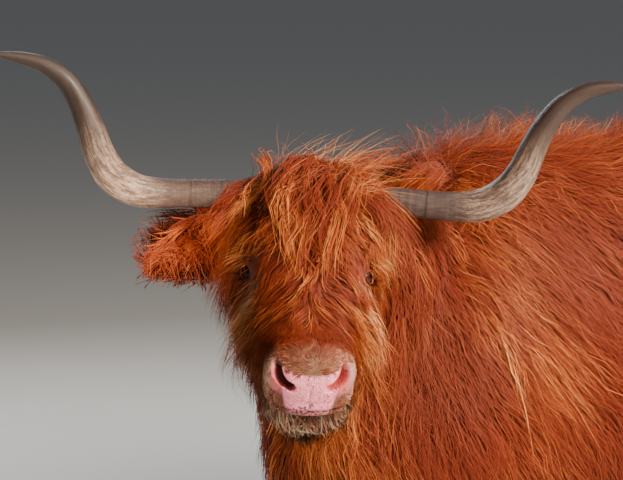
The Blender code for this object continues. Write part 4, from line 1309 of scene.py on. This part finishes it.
COATS = [
    Coat("coat_muzzle", "body", (-0.5, 3.2), ALL_ROUND, 11000, 6.4, 1.7, (-0.6, 0.35, 0.5),
         steps=3, wave=0.06, clump=0.8, mess=0.55, rise=(0.6, 1.3)),
    Coat("coat_face", "body", (2.8, 7.2), ALL_ROUND, 9000, 6.2, 1.6, (-0.75, 0.5, 0.5),
         steps=4, wave=0.35, clump=1.9, mess=0.5, rise=(0.4, 1.4), bleach=0.18),
    Coat("coat_eyes", "body", (3.0, 8.0), ALL_ROUND, 5000, 2.6, 1.1, (-0.3, 0.6, 0.3),
         steps=3, wave=0.05, clump=1.0, mess=0.3, rise=(0.3, 0.6), bleach=0.1),
    Coat("coat_cheeks", "body", (3.7, 8.4), (0.16, 0.84), 2600, 7.5, 1.8, (0.1, 0.2, 1.2),
         wave=0.5, clump=2.2, mess=0.35, rise=(1.0, 1.7)),
    Coat("coat_poll", "body", (6.8, 9.0), ALL_ROUND, 2300, 9.0, 2.4, (0.3, 0.3, 1.0),
         wave=0.5, clump=2.4, mess=0.3),
    Coat("coat_neck_left", "body", (8.6, 11.6), LEFT, 6500, 14.0, 1.8, (0.75, 0.1, 1.0), clump=2.8),
    Coat("coat_neck_left_top", "body", (8.4, 12.2), (0.0, 0.42), 3400, 20.0, 0.9, (0.8, 0.1, 1.0),
         rise=(0.8, 1.1), bleach=-0.05, clump=2.4),
    Coat("coat_neck_right", "body", (8.6, 11.6), RIGHT, 3000, 13.0, 3.8, (0.4, 0.1, 1.0), steps=4),
    Coat("coat_shoulder_left", "body", (11.4, 14.2), LEFT, 5300, 15.0, 2.2, (0.7, 0.1, 1.0)),
    Coat("coat_shoulder_left_top", "body", (11.6, 14.4), (0.0, 0.42), 2600, 20.0, 1.1, (0.8, 0.1, 1.0),
         rise=(0.8, 1.1), bleach=-0.05, clump=2.8),
    Coat("coat_shoulder_right", "body", (11.4, 14.2), RIGHT, 2600, 14.0, 5.0, (0.5, 0.1, 1.0), steps=4),
    Coat("coat_withers", "body", (10.6, 15.5), (-0.1, 0.1), 3200, 9.0, 1.4, (0.5, 0.5, 0.3),
         rise=(0.9, 1.5), wave=1.2, clump=2.2, mess=0.8, bleach=0.12),
    Coat("coat_side_left", "body", (13.8, 17.0), LEFT, 3400, 15.0, 4.2, (0.6, 0.1, 1.0)),
    Coat("coat_side_right", "body", (13.8, 17.0), RIGHT, 2400, 14.0, 6.2, (0.6, 0.1, 1.0), steps=4),
    Coat("coat_rump", "body", (16.8, 20.1), ALL_ROUND, 3600, 10.0, 5.0, (0.5, 0.1, 1.0), steps=4, wave=0.6),
    Coat("coat_belly", "body", (12.0, 17.2), (0.4, 0.6), 1800, 11.0, 4.0, (0.3, 0.0, 1.2),
         steps=4, rise=(0.7, 1.2), wave=0.9, mess=0.4),
    Coat("coat_tail", "tail", (0.1, 1.1), ALL_ROUND, 1400, 17.0, 4.4, (0.6, 0.0, 1.0),
         steps=6, rise=(0.4, 1.9), wave=0.9, clump=2.8, mess=0.3),
    Coat("coat_ear_right", "ear_right", (0.1, 1.1), ALL_ROUND, 3600, 5.5, 1.9, (0.7, 0.0, 0.7),
         rise=(0.8, 1.7), wave=0.25, clump=1.4, mess=0.4, bleach=0.1),
    Coat("coat_ear_left", "ear_left", (0.1, 1.1), ALL_ROUND, 1200, 6.0, 2.2, (1.0, 0.0, 0.2),
         rise=(0.5, 1.3), wave=0.4, clump=1.6, mess=0.3, bleach=0.1),
]
# Where the coat of a fore and a hind leg starts, and how many tufts it has.
LEG_COATS = {"fore": (0.1, 1200), "hind": (0.02, 1800)}
for leg in LEGS:
    first, number = LEG_COATS[leg.split("_")[0]]
    COATS.append(Coat("coat_leg_" + leg, "leg_" + leg, (first, 1.1), ALL_ROUND, number, 6.5, 4.6,
                      (0.3, 0.0, 1.0), steps=4, rise=(0.3, 1.0), wave=0.3, clump=2.4, mess=0.3))


# Families of the forelock's locks in the head's frame, in centimetres: how many, then from and to for
# the root's place out and forward, the tip's place out and forward and its height over the crown, and
# how high the lock arches between.
Family = namedtuple("Family", "count out forward tip_out tip_forward tip_up arch")
FORELOCK = (
    Family(24, (-7.5, 7.5), (-21.0, -13.0), (-8.0, 8.0), (-7.0, 4.0), (1.0, 3.2), (6.0, 10.0)),
    Family(20, (-5.0, 5.0), (-15.0, -8.0), (-5.5, 5.5), (3.0, 12.0), (0.6, 1.8), (4.0, 8.0)),
    Family(16, (0.0, 8.0), (-19.0, -10.0), (-10.0, -1.0), (-7.0, 2.0), (2.0, 4.0), (7.0, 11.0)),
    Family(24, (-8.5, -3.0), (-20.0, -11.0), (-18.5, -11.0), (-12.0, -2.0), (0.0, 3.5), (3.5, 6.5)),
    Family(16, (3.0, 8.5), (-20.0, -11.0), (10.5, 19.0), (-14.0, -3.0), (-4.0, 3.5), (5.0, 9.0)),
)
# Tufts in a lock, and the crest's height and the head's half width by how far forward.
LOCK_TUFTS = 30
CREST_LINE = (-24, -16.5, -8.5, -0.5, 5.5, 12.0, 19.0), (3.0, 6.2, 8.0, 7.6, 6.6, 5.2, 4.1)
HALF_WIDTHS = (-24, -8.5, 5.5, 12.0, 19.0), (10.5, 11.2, 9.6, 7.6, 7.0)


def lock_lines(family, t, random):
    """Middle lines of a family's locks: quadratic Bezier curves from the root on the crown by an arch to
    the tip, with a wave across them that grows with t."""
    def pick(ends):
        """A number between two for each lock."""
        return random.uniform(*ends, family.count)[:, None]

    root_out, root_forward = pick(family.out), pick(family.forward)
    tip_out, tip_forward = pick(family.tip_out), pick(family.tip_forward)
    if family.tip_out[0] * family.tip_out[1] < 0:
        tip_out = 1.15 * root_out + 0.4 * tip_out - 0.8
        tip_forward = tip_forward - 0.75 * np.clip(np.abs(tip_out) - 4.0, 0, None)
    root_up = crown_height(root_out, root_forward)
    tip_up = crown_height(tip_out, tip_forward) + pick(family.tip_up)
    arch_up = np.maximum(root_up, tip_up) + pick(family.arch)
    wave = pick((0.8, 2.3)) * np.sin(2 * math.pi * t * pick((0.8, 1.7)) + pick((0.0, 6.3))) * t
    ways = (
        (root_out, 0.55 * root_out + 0.45 * tip_out, tip_out),
        (root_forward, 0.65 * root_forward + 0.35 * tip_forward, tip_forward),
        (root_up, arch_up, tip_up),
    )
    out, forward, up = ((1 - t) ** 2 * a + 2 * t * (1 - t) * b + t**2 * c for a, b, c in ways)
    return np.stack([out + wave, forward, up], axis=-1)


def make_forelock(seed=77, steps=7):
    """Long locks from the crown that rise, part over the forehead and fall beside the nose.

    A lock's tufts keep their own places round its middle line and close in on it as 1 - 0.7 t^0.8; one
    in four strays further out, by t^1.6.
    """
    random = np.random.default_rng(seed)
    t = np.linspace(0, 1, steps)[None]
    line = np.concatenate([lock_lines(family, t, random) for family in FORELOCK])
    lock = np.repeat(np.arange(len(line)), int(LOCK_TUFTS * (1.0)))
    count = len(lock)
    offset = random.normal(size=(count, 1, 3)) * np.array([1.0, 1.0, 0.45]) * (1 - 0.7 * t**0.8)[..., None]
    stray = random.normal(size=(count, 1, 3)) * np.array([1.6, 1.4, 0.9]) * (t**1.6)[..., None]
    curve = line[lock] + offset + stray * (random.random((count, 1, 1)) < 0.25)
    curve = curve[:, :1] + (curve - curve[:, :1]) * random.uniform(0.75, 1.03, (count, 1, 1))
    under = crown_height(curve[..., 0], curve[..., 1]) + np.where(t < 0.05, -0.4, 0.3)
    over_crown = np.abs(curve[..., 0]) < 10.0
    curve[..., 2] = np.where(over_crown, np.maximum(curve[..., 2], under), curve[..., 2])
    bright = random.random(len(line))[lock]
    shade = 0.12 + 0.8 * bright + 0.1 * (bright > 0.8) + 0.5 * (random.random(count) - 0.5)
    shade = np.minimum(shade + 0.3 * (random.random(count) < 0.10), 0.95)
    place_tufts("forelock_locks", curve, 1.45 * random.uniform(0.6, 1.4, count), shade)


def make_wisps(seed=9, count=340, steps=8):
    """Fine pale hairs that leave the crown and arch over to the left: root + rise t + bend t^2."""
    random = np.random.default_rng(seed)
    t = np.linspace(0, 1, steps)[None, :, None]
    out, forward = 9.0 - 16.0 * random.random(count) ** 1.2, random.uniform(-20.0, -7.0, count)
    root = np.stack([out, forward, crown_height(out, forward) + 0.5], axis=-1)

    def pick(sideways, ahead, upward):
        """A way for each hair: sideways by a mean and a spread, and from and to for the others."""
        way = random.normal(*sideways, count), random.uniform(*ahead, count), random.uniform(*upward, count)
        return np.stack(way, axis=-1)[:, None]

    rise = pick((3.0, 3.0), (-5.0, 1.0), (4.0, 11.0))
    bend = pick((2.5, 2.5), (-4.0, 4.0), (-8.0, -1.0))
    curve = root[:, None] + rise * t + bend * t**2
    curve[..., 0] += 0.5 * np.sin(7.0 * t[..., 0] + 6.3 * random.random(count)[:, None]) * t[..., 0]
    width = random.uniform(0.35, 0.65, count)
    place_tufts("forelock_wisps", curve, width, random.uniform(0.7, 1.2, count))


def place_tufts(name, curve, width, shade):
    """Tufts along curves given in the head's frame, with widths in millimetres."""
    points = on_head(curve)
    normals = np.broadcast_to(unit(HEAD_AXES[2] + 0.2 * HEAD_AXES[1]), points.shape)
    spots = bake_spots(0.5 + curve[:, 0, 0] / 40.0, 0.5 + curve[:, 0, 1] / 60.0)
    tuft_mesh(name, points, normals, MILLIMETRE * width, plain(np.clip(shade, -0.2, 1.3)), spots)


def crown_height(out, forward):
    """How far up the head's skin is over a place on its top: the crest's line, falling to the sides."""
    crest = np.interp(forward, *CREST_LINE)
    half = np.interp(forward, *HALF_WIDTHS)
    share = np.clip(np.abs(out) / half, 0, 1.15)
    return crest - 9.0 * (1 - np.sqrt(np.clip(1 - share**2.3 / 1.4, 0, 1)))


def make_lashes(seed=5, count=60, steps=4):
    """Pale lashes fanned along each upper lid, and a pale brow that arches out over the eye."""
    random = np.random.default_rng(seed)
    t = np.linspace(0, 1, steps)[None, :, None]
    curves, facings = [], []
    for side in SIDES.values():
        look, ahead, up = eye_axes(side)
        s = random.uniform(-0.95, 0.95, count)[:, None]
        along, over = 1.55 * s, 1.2 * (1 - s**2)
        root = eye_centre(side) + CM * (along * ahead + (over + 0.12) * up)
        root = root + CM * np.sqrt(4.0 - along**2 - over**2) * look
        reach = CM * random.uniform(1.2, 2.6, count)[:, None]
        way = unit(look - (0.9 - 0.4 * s) * ahead + 0.25 * up + 0.12 * random.normal(size=(count, 3)))
        sag = reach * 0.45 * -HEAD_AXES[2]
        lash = root[:, None] + t * (reach * way)[:, None] + t**2 * sag[:, None]
        root = np.array([8.6, -0.6, 2.6]) + np.array([0.5, 1.3, 0.4]) * random.normal(size=(count, 3))
        reach = np.array([5.4, 0.9, -2.0]) * random.uniform(0.35, 1.1, (count, 1))
        reach = reach + 0.7 * random.normal(size=(count, 3))
        brow = root[:, None] + reach[:, None] * t + np.array([0.2, 0.6, 1.0]) * (4 * t * (1 - t))
        curves += [lash, on_head(sided(brow, side))]
        facings += [np.broadcast_to(up, lash.shape), np.broadcast_to(unit(look + up), brow.shape)]
    curve, normals = np.concatenate(curves), np.concatenate(facings)
    shade = random.uniform(0.8, 1.25, len(curve))
    spots = 0.5 + 0.4 * (np.stack([np.arange(len(curve)) / len(curve), np.zeros_like(shade)], -1) - 0.5)
    tuft_mesh("lashes", curve, normals, np.full(len(curve), 0.7 * MILLIMETRE), plain(shade), spots)


# --- horns, eyes and claws ---------------------------------------------------------------------------
HORN_ROWS, HORN_SIDES = 221, 48
# The share of the horn's line that its ear and the forelock hide, where its growth ridges fade out, and
# their height as a share of its radius.
HORN_HIDDEN, RIDGES_FADE, RIDGE_HEIGHT = 0.12, (0.12, 0.45), 0.018
# The cornea's rise as a share of the eye's radius, its and the iris's half angles in degrees, and the
# pupil's half sizes along the eye and up it, as shares of the radius.
CORNEA_RISE, CORNEA_ANGLE, IRIS_ANGLE, PUPIL = 0.07, 40, 38, (0.34, 0.17)
# In centimetres: a claw's half width and half length, its height and how far out its middle stands, with
# the share of its height that it leans back by; then a dewclaw's half sizes and its place.
CLAW_HALVES, CLAW_HEIGHT, CLAW_APART, CLAW_LEAN = (2.55, 5.6), 6.2, 2.95, 0.62
DEWCLAW_HALVES, DEWCLAW_AT = (2.3, 1.3), (2.6, 7.6, 3.4)


def make_horn(label):
    """A round tube along the horn's line.

    Its radius is the table's share of the horn's, rippled by a sine for each growth ring, which fades out
    before the middle, and by two faint waves that wind round it.
    """
    rows = spline(HORN, even(HORN_ROWS, len(HORN) - 1))
    line = on_head(sided(rows[:, :3], SIDES[label]))
    along = np.linspace(0, 1, len(rows))[:, None]
    ridge = RIDGE_HEIGHT * np.sin(along * 190.0 + 2.0 * np.sin(along * 37.0)) * fade(along, *RIDGES_FADE)
    turn = circle(HORN_SIDES)
    lump = 1 + 0.012 * np.sin(3 * turn + 9 * along) + 0.01 * np.sin(7 * turn - 21 * along)
    radius = sizes().horn_radius * rows[:, 3:] * (1 + ridge) * lump
    heading = unit(np.gradient(line, axis=0))
    above = HEAD_AXES[2] + 0.3 * HEAD_AXES[1]
    first = unit(above - dot(heading, above) * heading)
    axes = first[:, None], np.cross(heading, first)[:, None]
    grid = on_axes(axes, (radius * np.cos(turn), radius * np.sin(turn)), line[:, None])
    shown = np.clip((along - HORN_HIDDEN) / (1 - HORN_HIDDEN), 0, 1)
    numbers = {"along": shown, "turn_x": np.cos(turn), "turn_y": np.sin(turn)}
    numbers = {key: np.broadcast_to(values, radius.shape) for key, values in numbers.items()}
    horn = tube_object("horn_" + label + "_finished", grid, finish_of(horn_finish), numbers)
    hand_in(horn, "horn", "horn_" + label)


def make_eye(label):
    """An eyeball with a raised cornea: r(a) = radius * (1 + 0.07 (1 - (a / 40 degrees)^2)) within it."""
    look, ahead, up = eye_axes(SIDES[label])
    polar = np.linspace(0.02, math.pi - 0.02, 64)[:, None]
    turn = circle(64)
    rise = CORNEA_RISE * np.clip(1 - (polar / math.radians(CORNEA_ANGLE)) ** 2, 0, None)
    radius = sizes().eye_radius * (1 + rise)
    x, y = np.sin(polar) * np.cos(turn), np.sin(polar) * np.sin(turn)
    lengths = radius * np.cos(polar) * np.ones_like(turn), radius * x, radius * y
    grid = on_axes((look, ahead, up), lengths, eye_centre(SIDES[label]))
    behind = polar > math.pi / 2
    numbers = {
        "iris": np.repeat(polar / math.radians(IRIS_ANGLE), 64, 1) + behind,
        "pupil": np.hypot(x / PUPIL[0], y / PUPIL[1]) + 9.0 * behind,
    }
    eye = tube_object("eye_" + label + "_finished", grid, finish_of(eye_finish), numbers)
    hand_in(eye, "eye", "eye_" + label)


def claw_grid(foot, way):
    """A claw's wall: pointed ovals that lean back as they rise, closed over at sole and coronet.

    They narrow by 0.22 on the way up, with fine growth rings, and in front they narrow again by the
    cosine squared and bend in towards the cleft by its cube.
    """
    share = np.concatenate([np.zeros(3), np.linspace(0, 1, 22), [1.02, 1.05, 1.07]])[:, None]
    scale = np.concatenate([[0.15, 0.6, 0.96], np.ones(22), [0.9, 0.55, 0.12]])[:, None]
    narrowing = np.minimum(share, 1)
    size = (1.0 - 0.22 * narrowing) * (1 - 0.02 * np.exp(-((share - 0.02) / 0.02) ** 2))
    turn = circle(56)
    ahead = np.clip(np.cos(turn), 0, 1)
    ring = 1 + 0.006 * np.sin(share * 42)
    wide = CLAW_HALVES[0] * size * ring * (1 - 0.22 * ahead**2)
    x = scale * (wide * np.sin(turn) - 0.55 * way * ahead**3) + way * (CLAW_APART - 0.25 * narrowing)
    y = -3.0 + CLAW_LEAN * CLAW_HEIGHT * share - scale * CLAW_HALVES[1] * size * ring * np.cos(turn)
    z = CLAW_HEIGHT * share * np.ones_like(turn)
    return foot + CM * np.stack([x, y, z], axis=-1)


def dewclaw_grid(foot, way):
    """A small blunt cone behind the fetlock, pointing down and back: as wide as sin(a)^0.8 makes it."""
    down, across = unit([0.0, 0.55, -0.84]), np.array([1.0, 0.0, 0.0])
    polar = np.linspace(0.05, math.pi - 0.05, 24)[:, None]
    turn = circle(32)
    out = np.sin(polar) ** 0.8
    long, wide = DEWCLAW_HALVES
    lengths = long * np.cos(polar) * np.ones_like(turn), wide * out * np.cos(turn), out * np.sin(turn)
    grid = on_axes((down, across, np.cross(down, across)), lengths)
    return foot + CM * (grid + sided(DEWCLAW_AT, way))


def make_claws(label):
    """Two claws and two dewclaws under the last knot of a leg."""
    knots, side = leg_knots(label)
    x, y, z = knots[-1].at
    foot = on_body([side * x, y + STRIDE[label], 0.0])
    low = foot + CM * z * UP
    for way in (-1, 1):
        name = f"{label}_{'outer' if way == side else 'inner'}"
        for kind, grid in (("claw_", claw_grid(foot, way)), ("dewclaw_", dewclaw_grid(low, way))):
            claw = tube_object(kind + name + "_finished", grid, finish_of(claw_finish))
            hand_in(claw, "hoof", kind + name)


# --- stage -------------------------------------------------------------------------------------------
# The studio's lights: bearing and height in degrees, distance and size in metres, power and colour.
Light = namedtuple("Light", "name bearing height distance size power colour")
LIGHTS = (
    Light("key", 95.0, 24.0, 5.0, 1.2, 880.0, (1.0, 0.86, 0.69)),
    Light("fill", 30.0, 25.0, 5.0, 3.0, 16.0, (0.90, 0.94, 1.0)),
    Light("rim", 160.0, 52.0, 5.0, 2.0, 120.0, (1.0, 0.95, 0.88)),
    Light("far side", 250.0, 25.0, 5.0, 2.5, 90.0, (0.93, 0.96, 1.0)),
)
# What the lights and the camera look at, in the tables' frame; the camera's bearing, height and distance;
# the right ear's own light, the place it lights in the head's frame, its beam in degrees and the share
# of it that fades; half the floor's side; and the sky's colour and strength.
LOOKED_AT, CAMERA_FROM = (13.0, -83.0, 107.0), (50.0, 7.0, 4.6)
EAR_LIGHT = Light("ear light", 34.0, 3.0, 5.0, 0.05, 3700.0, (1.0, 0.80, 0.56))
EAR_LIT_AT, EAR_BEAM, EAR_BLEND = (-24.0, -11.0, -2.5), 3.7, 0.8
FLOOR_HALF, SKY, SKY_STRENGTH = 60.0, (0.80, 0.84, 0.90, 1.0), 0.13


def make_stage():
    """A wide floor, a dim sky, the studio's lights, a narrow one on the right ear, and the camera."""
    corners = FLOOR_HALF * np.array([[-1, -1, 0], [1, -1, 0], [1, 1, 0], [-1, 1, 0]], float)
    new_object("floor", corners, [np.array([[0, 1, 2, 3]])], finish_of(studio_floor),
                        smooth_shaded=False)
    world = bpy.data.worlds.new("studio")
    world.use_nodes = True
    sky = world.node_tree.nodes["Background"].inputs
    sky["Color"].default_value, sky["Strength"].default_value = SKY, SKY_STRENGTH
    bpy.context.scene.world = world
    target = on_body(LOOKED_AT)
    for each in LIGHTS:
        light = add_light(each, "AREA", target)
        light.shape, light.size = "DISK", each.size
    ear = add_light(EAR_LIGHT, "SPOT", on_head(EAR_LIT_AT))
    ear.spot_size, ear.spot_blend, ear.shadow_soft_size = math.radians(EAR_BEAM), EAR_BLEND, EAR_LIGHT.size
    camera = bpy.data.cameras.new("camera")
    camera.sensor_width, camera.lens, camera.clip_end = 36.0, sizes().camera_lens, 200.0
    bpy.context.scene.camera = aimed("camera", camera, target, *CAMERA_FROM)


def add_light(light, kind, target):
    """One of the studio's lights, aimed at the target."""
    made = bpy.data.lights.new(light.name, kind)
    made.energy, made.color = light.power, light.colour
    aimed(light.name, made, target, light.bearing, light.height, light.distance)
    return made


def aimed(name, data, target, bearing, height, distance):
    """An object that looks at the target from a bearing and a height, in degrees, and a distance."""
    a, e = math.radians(bearing), math.radians(height)
    back = np.array([math.sin(a) * math.cos(e), -math.cos(a) * math.cos(e), math.sin(e)])
    right = np.array([math.cos(a), math.sin(a), 0.0])
    turned = np.eye(4)
    turned[:3] = np.stack([right, np.cross(back, right), back, target + distance * back], axis=-1)
    made = bpy.data.objects.new(name, data)
    made.matrix_world = Matrix(turned)
    bpy.context.scene.collection.objects.link(made)
    return made


# --- add-on ------------------------------------------------------------------------------------------
class CowSkin(bpy.types.Operator):
    """Make the skin."""

    bl_idname = "cow.skin"
    bl_label = "Skin"

    def execute(self, context):
        make_skin()
        return {"FINISHED"}


class CowCoat(bpy.types.Operator):
    """Grow every piece of the coat."""

    bl_idname = "cow.coat"
    bl_label = "Coat"

    def execute(self, context):
        for seed, coat in enumerate(COATS):
            make_coat(coat, seed)
        make_forelock()
        make_wisps()
        make_lashes()
        return {"FINISHED"}


class CowHorns(bpy.types.Operator):
    """Make both horns."""

    bl_idname = "cow.horns"
    bl_label = "Horns"

    def execute(self, context):
        for label in SIDES:
            make_horn(label)
        return {"FINISHED"}


class CowEyes(bpy.types.Operator):
    """Make both eyes."""

    bl_idname = "cow.eyes"
    bl_label = "Eyes"

    def execute(self, context):
        for label in SIDES:
            make_eye(label)
        return {"FINISHED"}


class CowClaws(bpy.types.Operator):
    """Make the claws and dewclaws of every foot."""

    bl_idname = "cow.claws"
    bl_label = "Claws"

    def execute(self, context):
        for label in LEGS:
            make_claws(label)
        return {"FINISHED"}


class CowStage(bpy.types.Operator):
    """Make the floor, lights and camera."""

    bl_idname = "cow.stage"
    bl_label = "Stage"

    def execute(self, context):
        make_stage()
        return {"FINISHED"}


OPERATORS = (CowSkin, CowCoat, CowHorns, CowEyes, CowClaws, CowStage)


class CowPanel(bpy.types.Panel):
    """Sizes, colours and the operators in order."""

    bl_idname = "VIEW3D_PT_cow"
    bl_label = "Highland cow"
    bl_space_type = "VIEW_3D"
    bl_region_type = "UI"
    bl_category = "Highland cow"

    def draw(self, context):
        for group in (context.scene.cow_sizes, context.scene.cow_colours):
            for key in group.bl_rna.properties.keys():
                if key not in ("rna_type", "name"):
                    self.layout.prop(group, key)
        for operator in OPERATORS:
            self.layout.operator(operator.bl_idname)


CLASSES = (CowSizes, CowColours, *OPERATORS, CowPanel)


def register():
    """Adds the classes, and a group of sizes and one of colours to every scene."""
    for each in CLASSES:
        bpy.utils.register_class(each)
    bpy.types.Scene.cow_sizes = bpy.props.PointerProperty(type=CowSizes)
    bpy.types.Scene.cow_colours = bpy.props.PointerProperty(type=CowColours)


def unregister():
    """Takes away what register adds, last first."""
    del bpy.types.Scene.cow_sizes
    del bpy.types.Scene.cow_colours
    for each in reversed(CLASSES):
        bpy.utils.unregister_class(each)


def main():
    """Makes the stage and the animal."""
    register()
    bpy.ops.cow.stage()
    bpy.ops.cow.skin()
    bpy.ops.cow.coat()
    bpy.ops.cow.horns()
    bpy.ops.cow.eyes()
    bpy.ops.cow.claws()


if __name__ == "__main__":
    main()
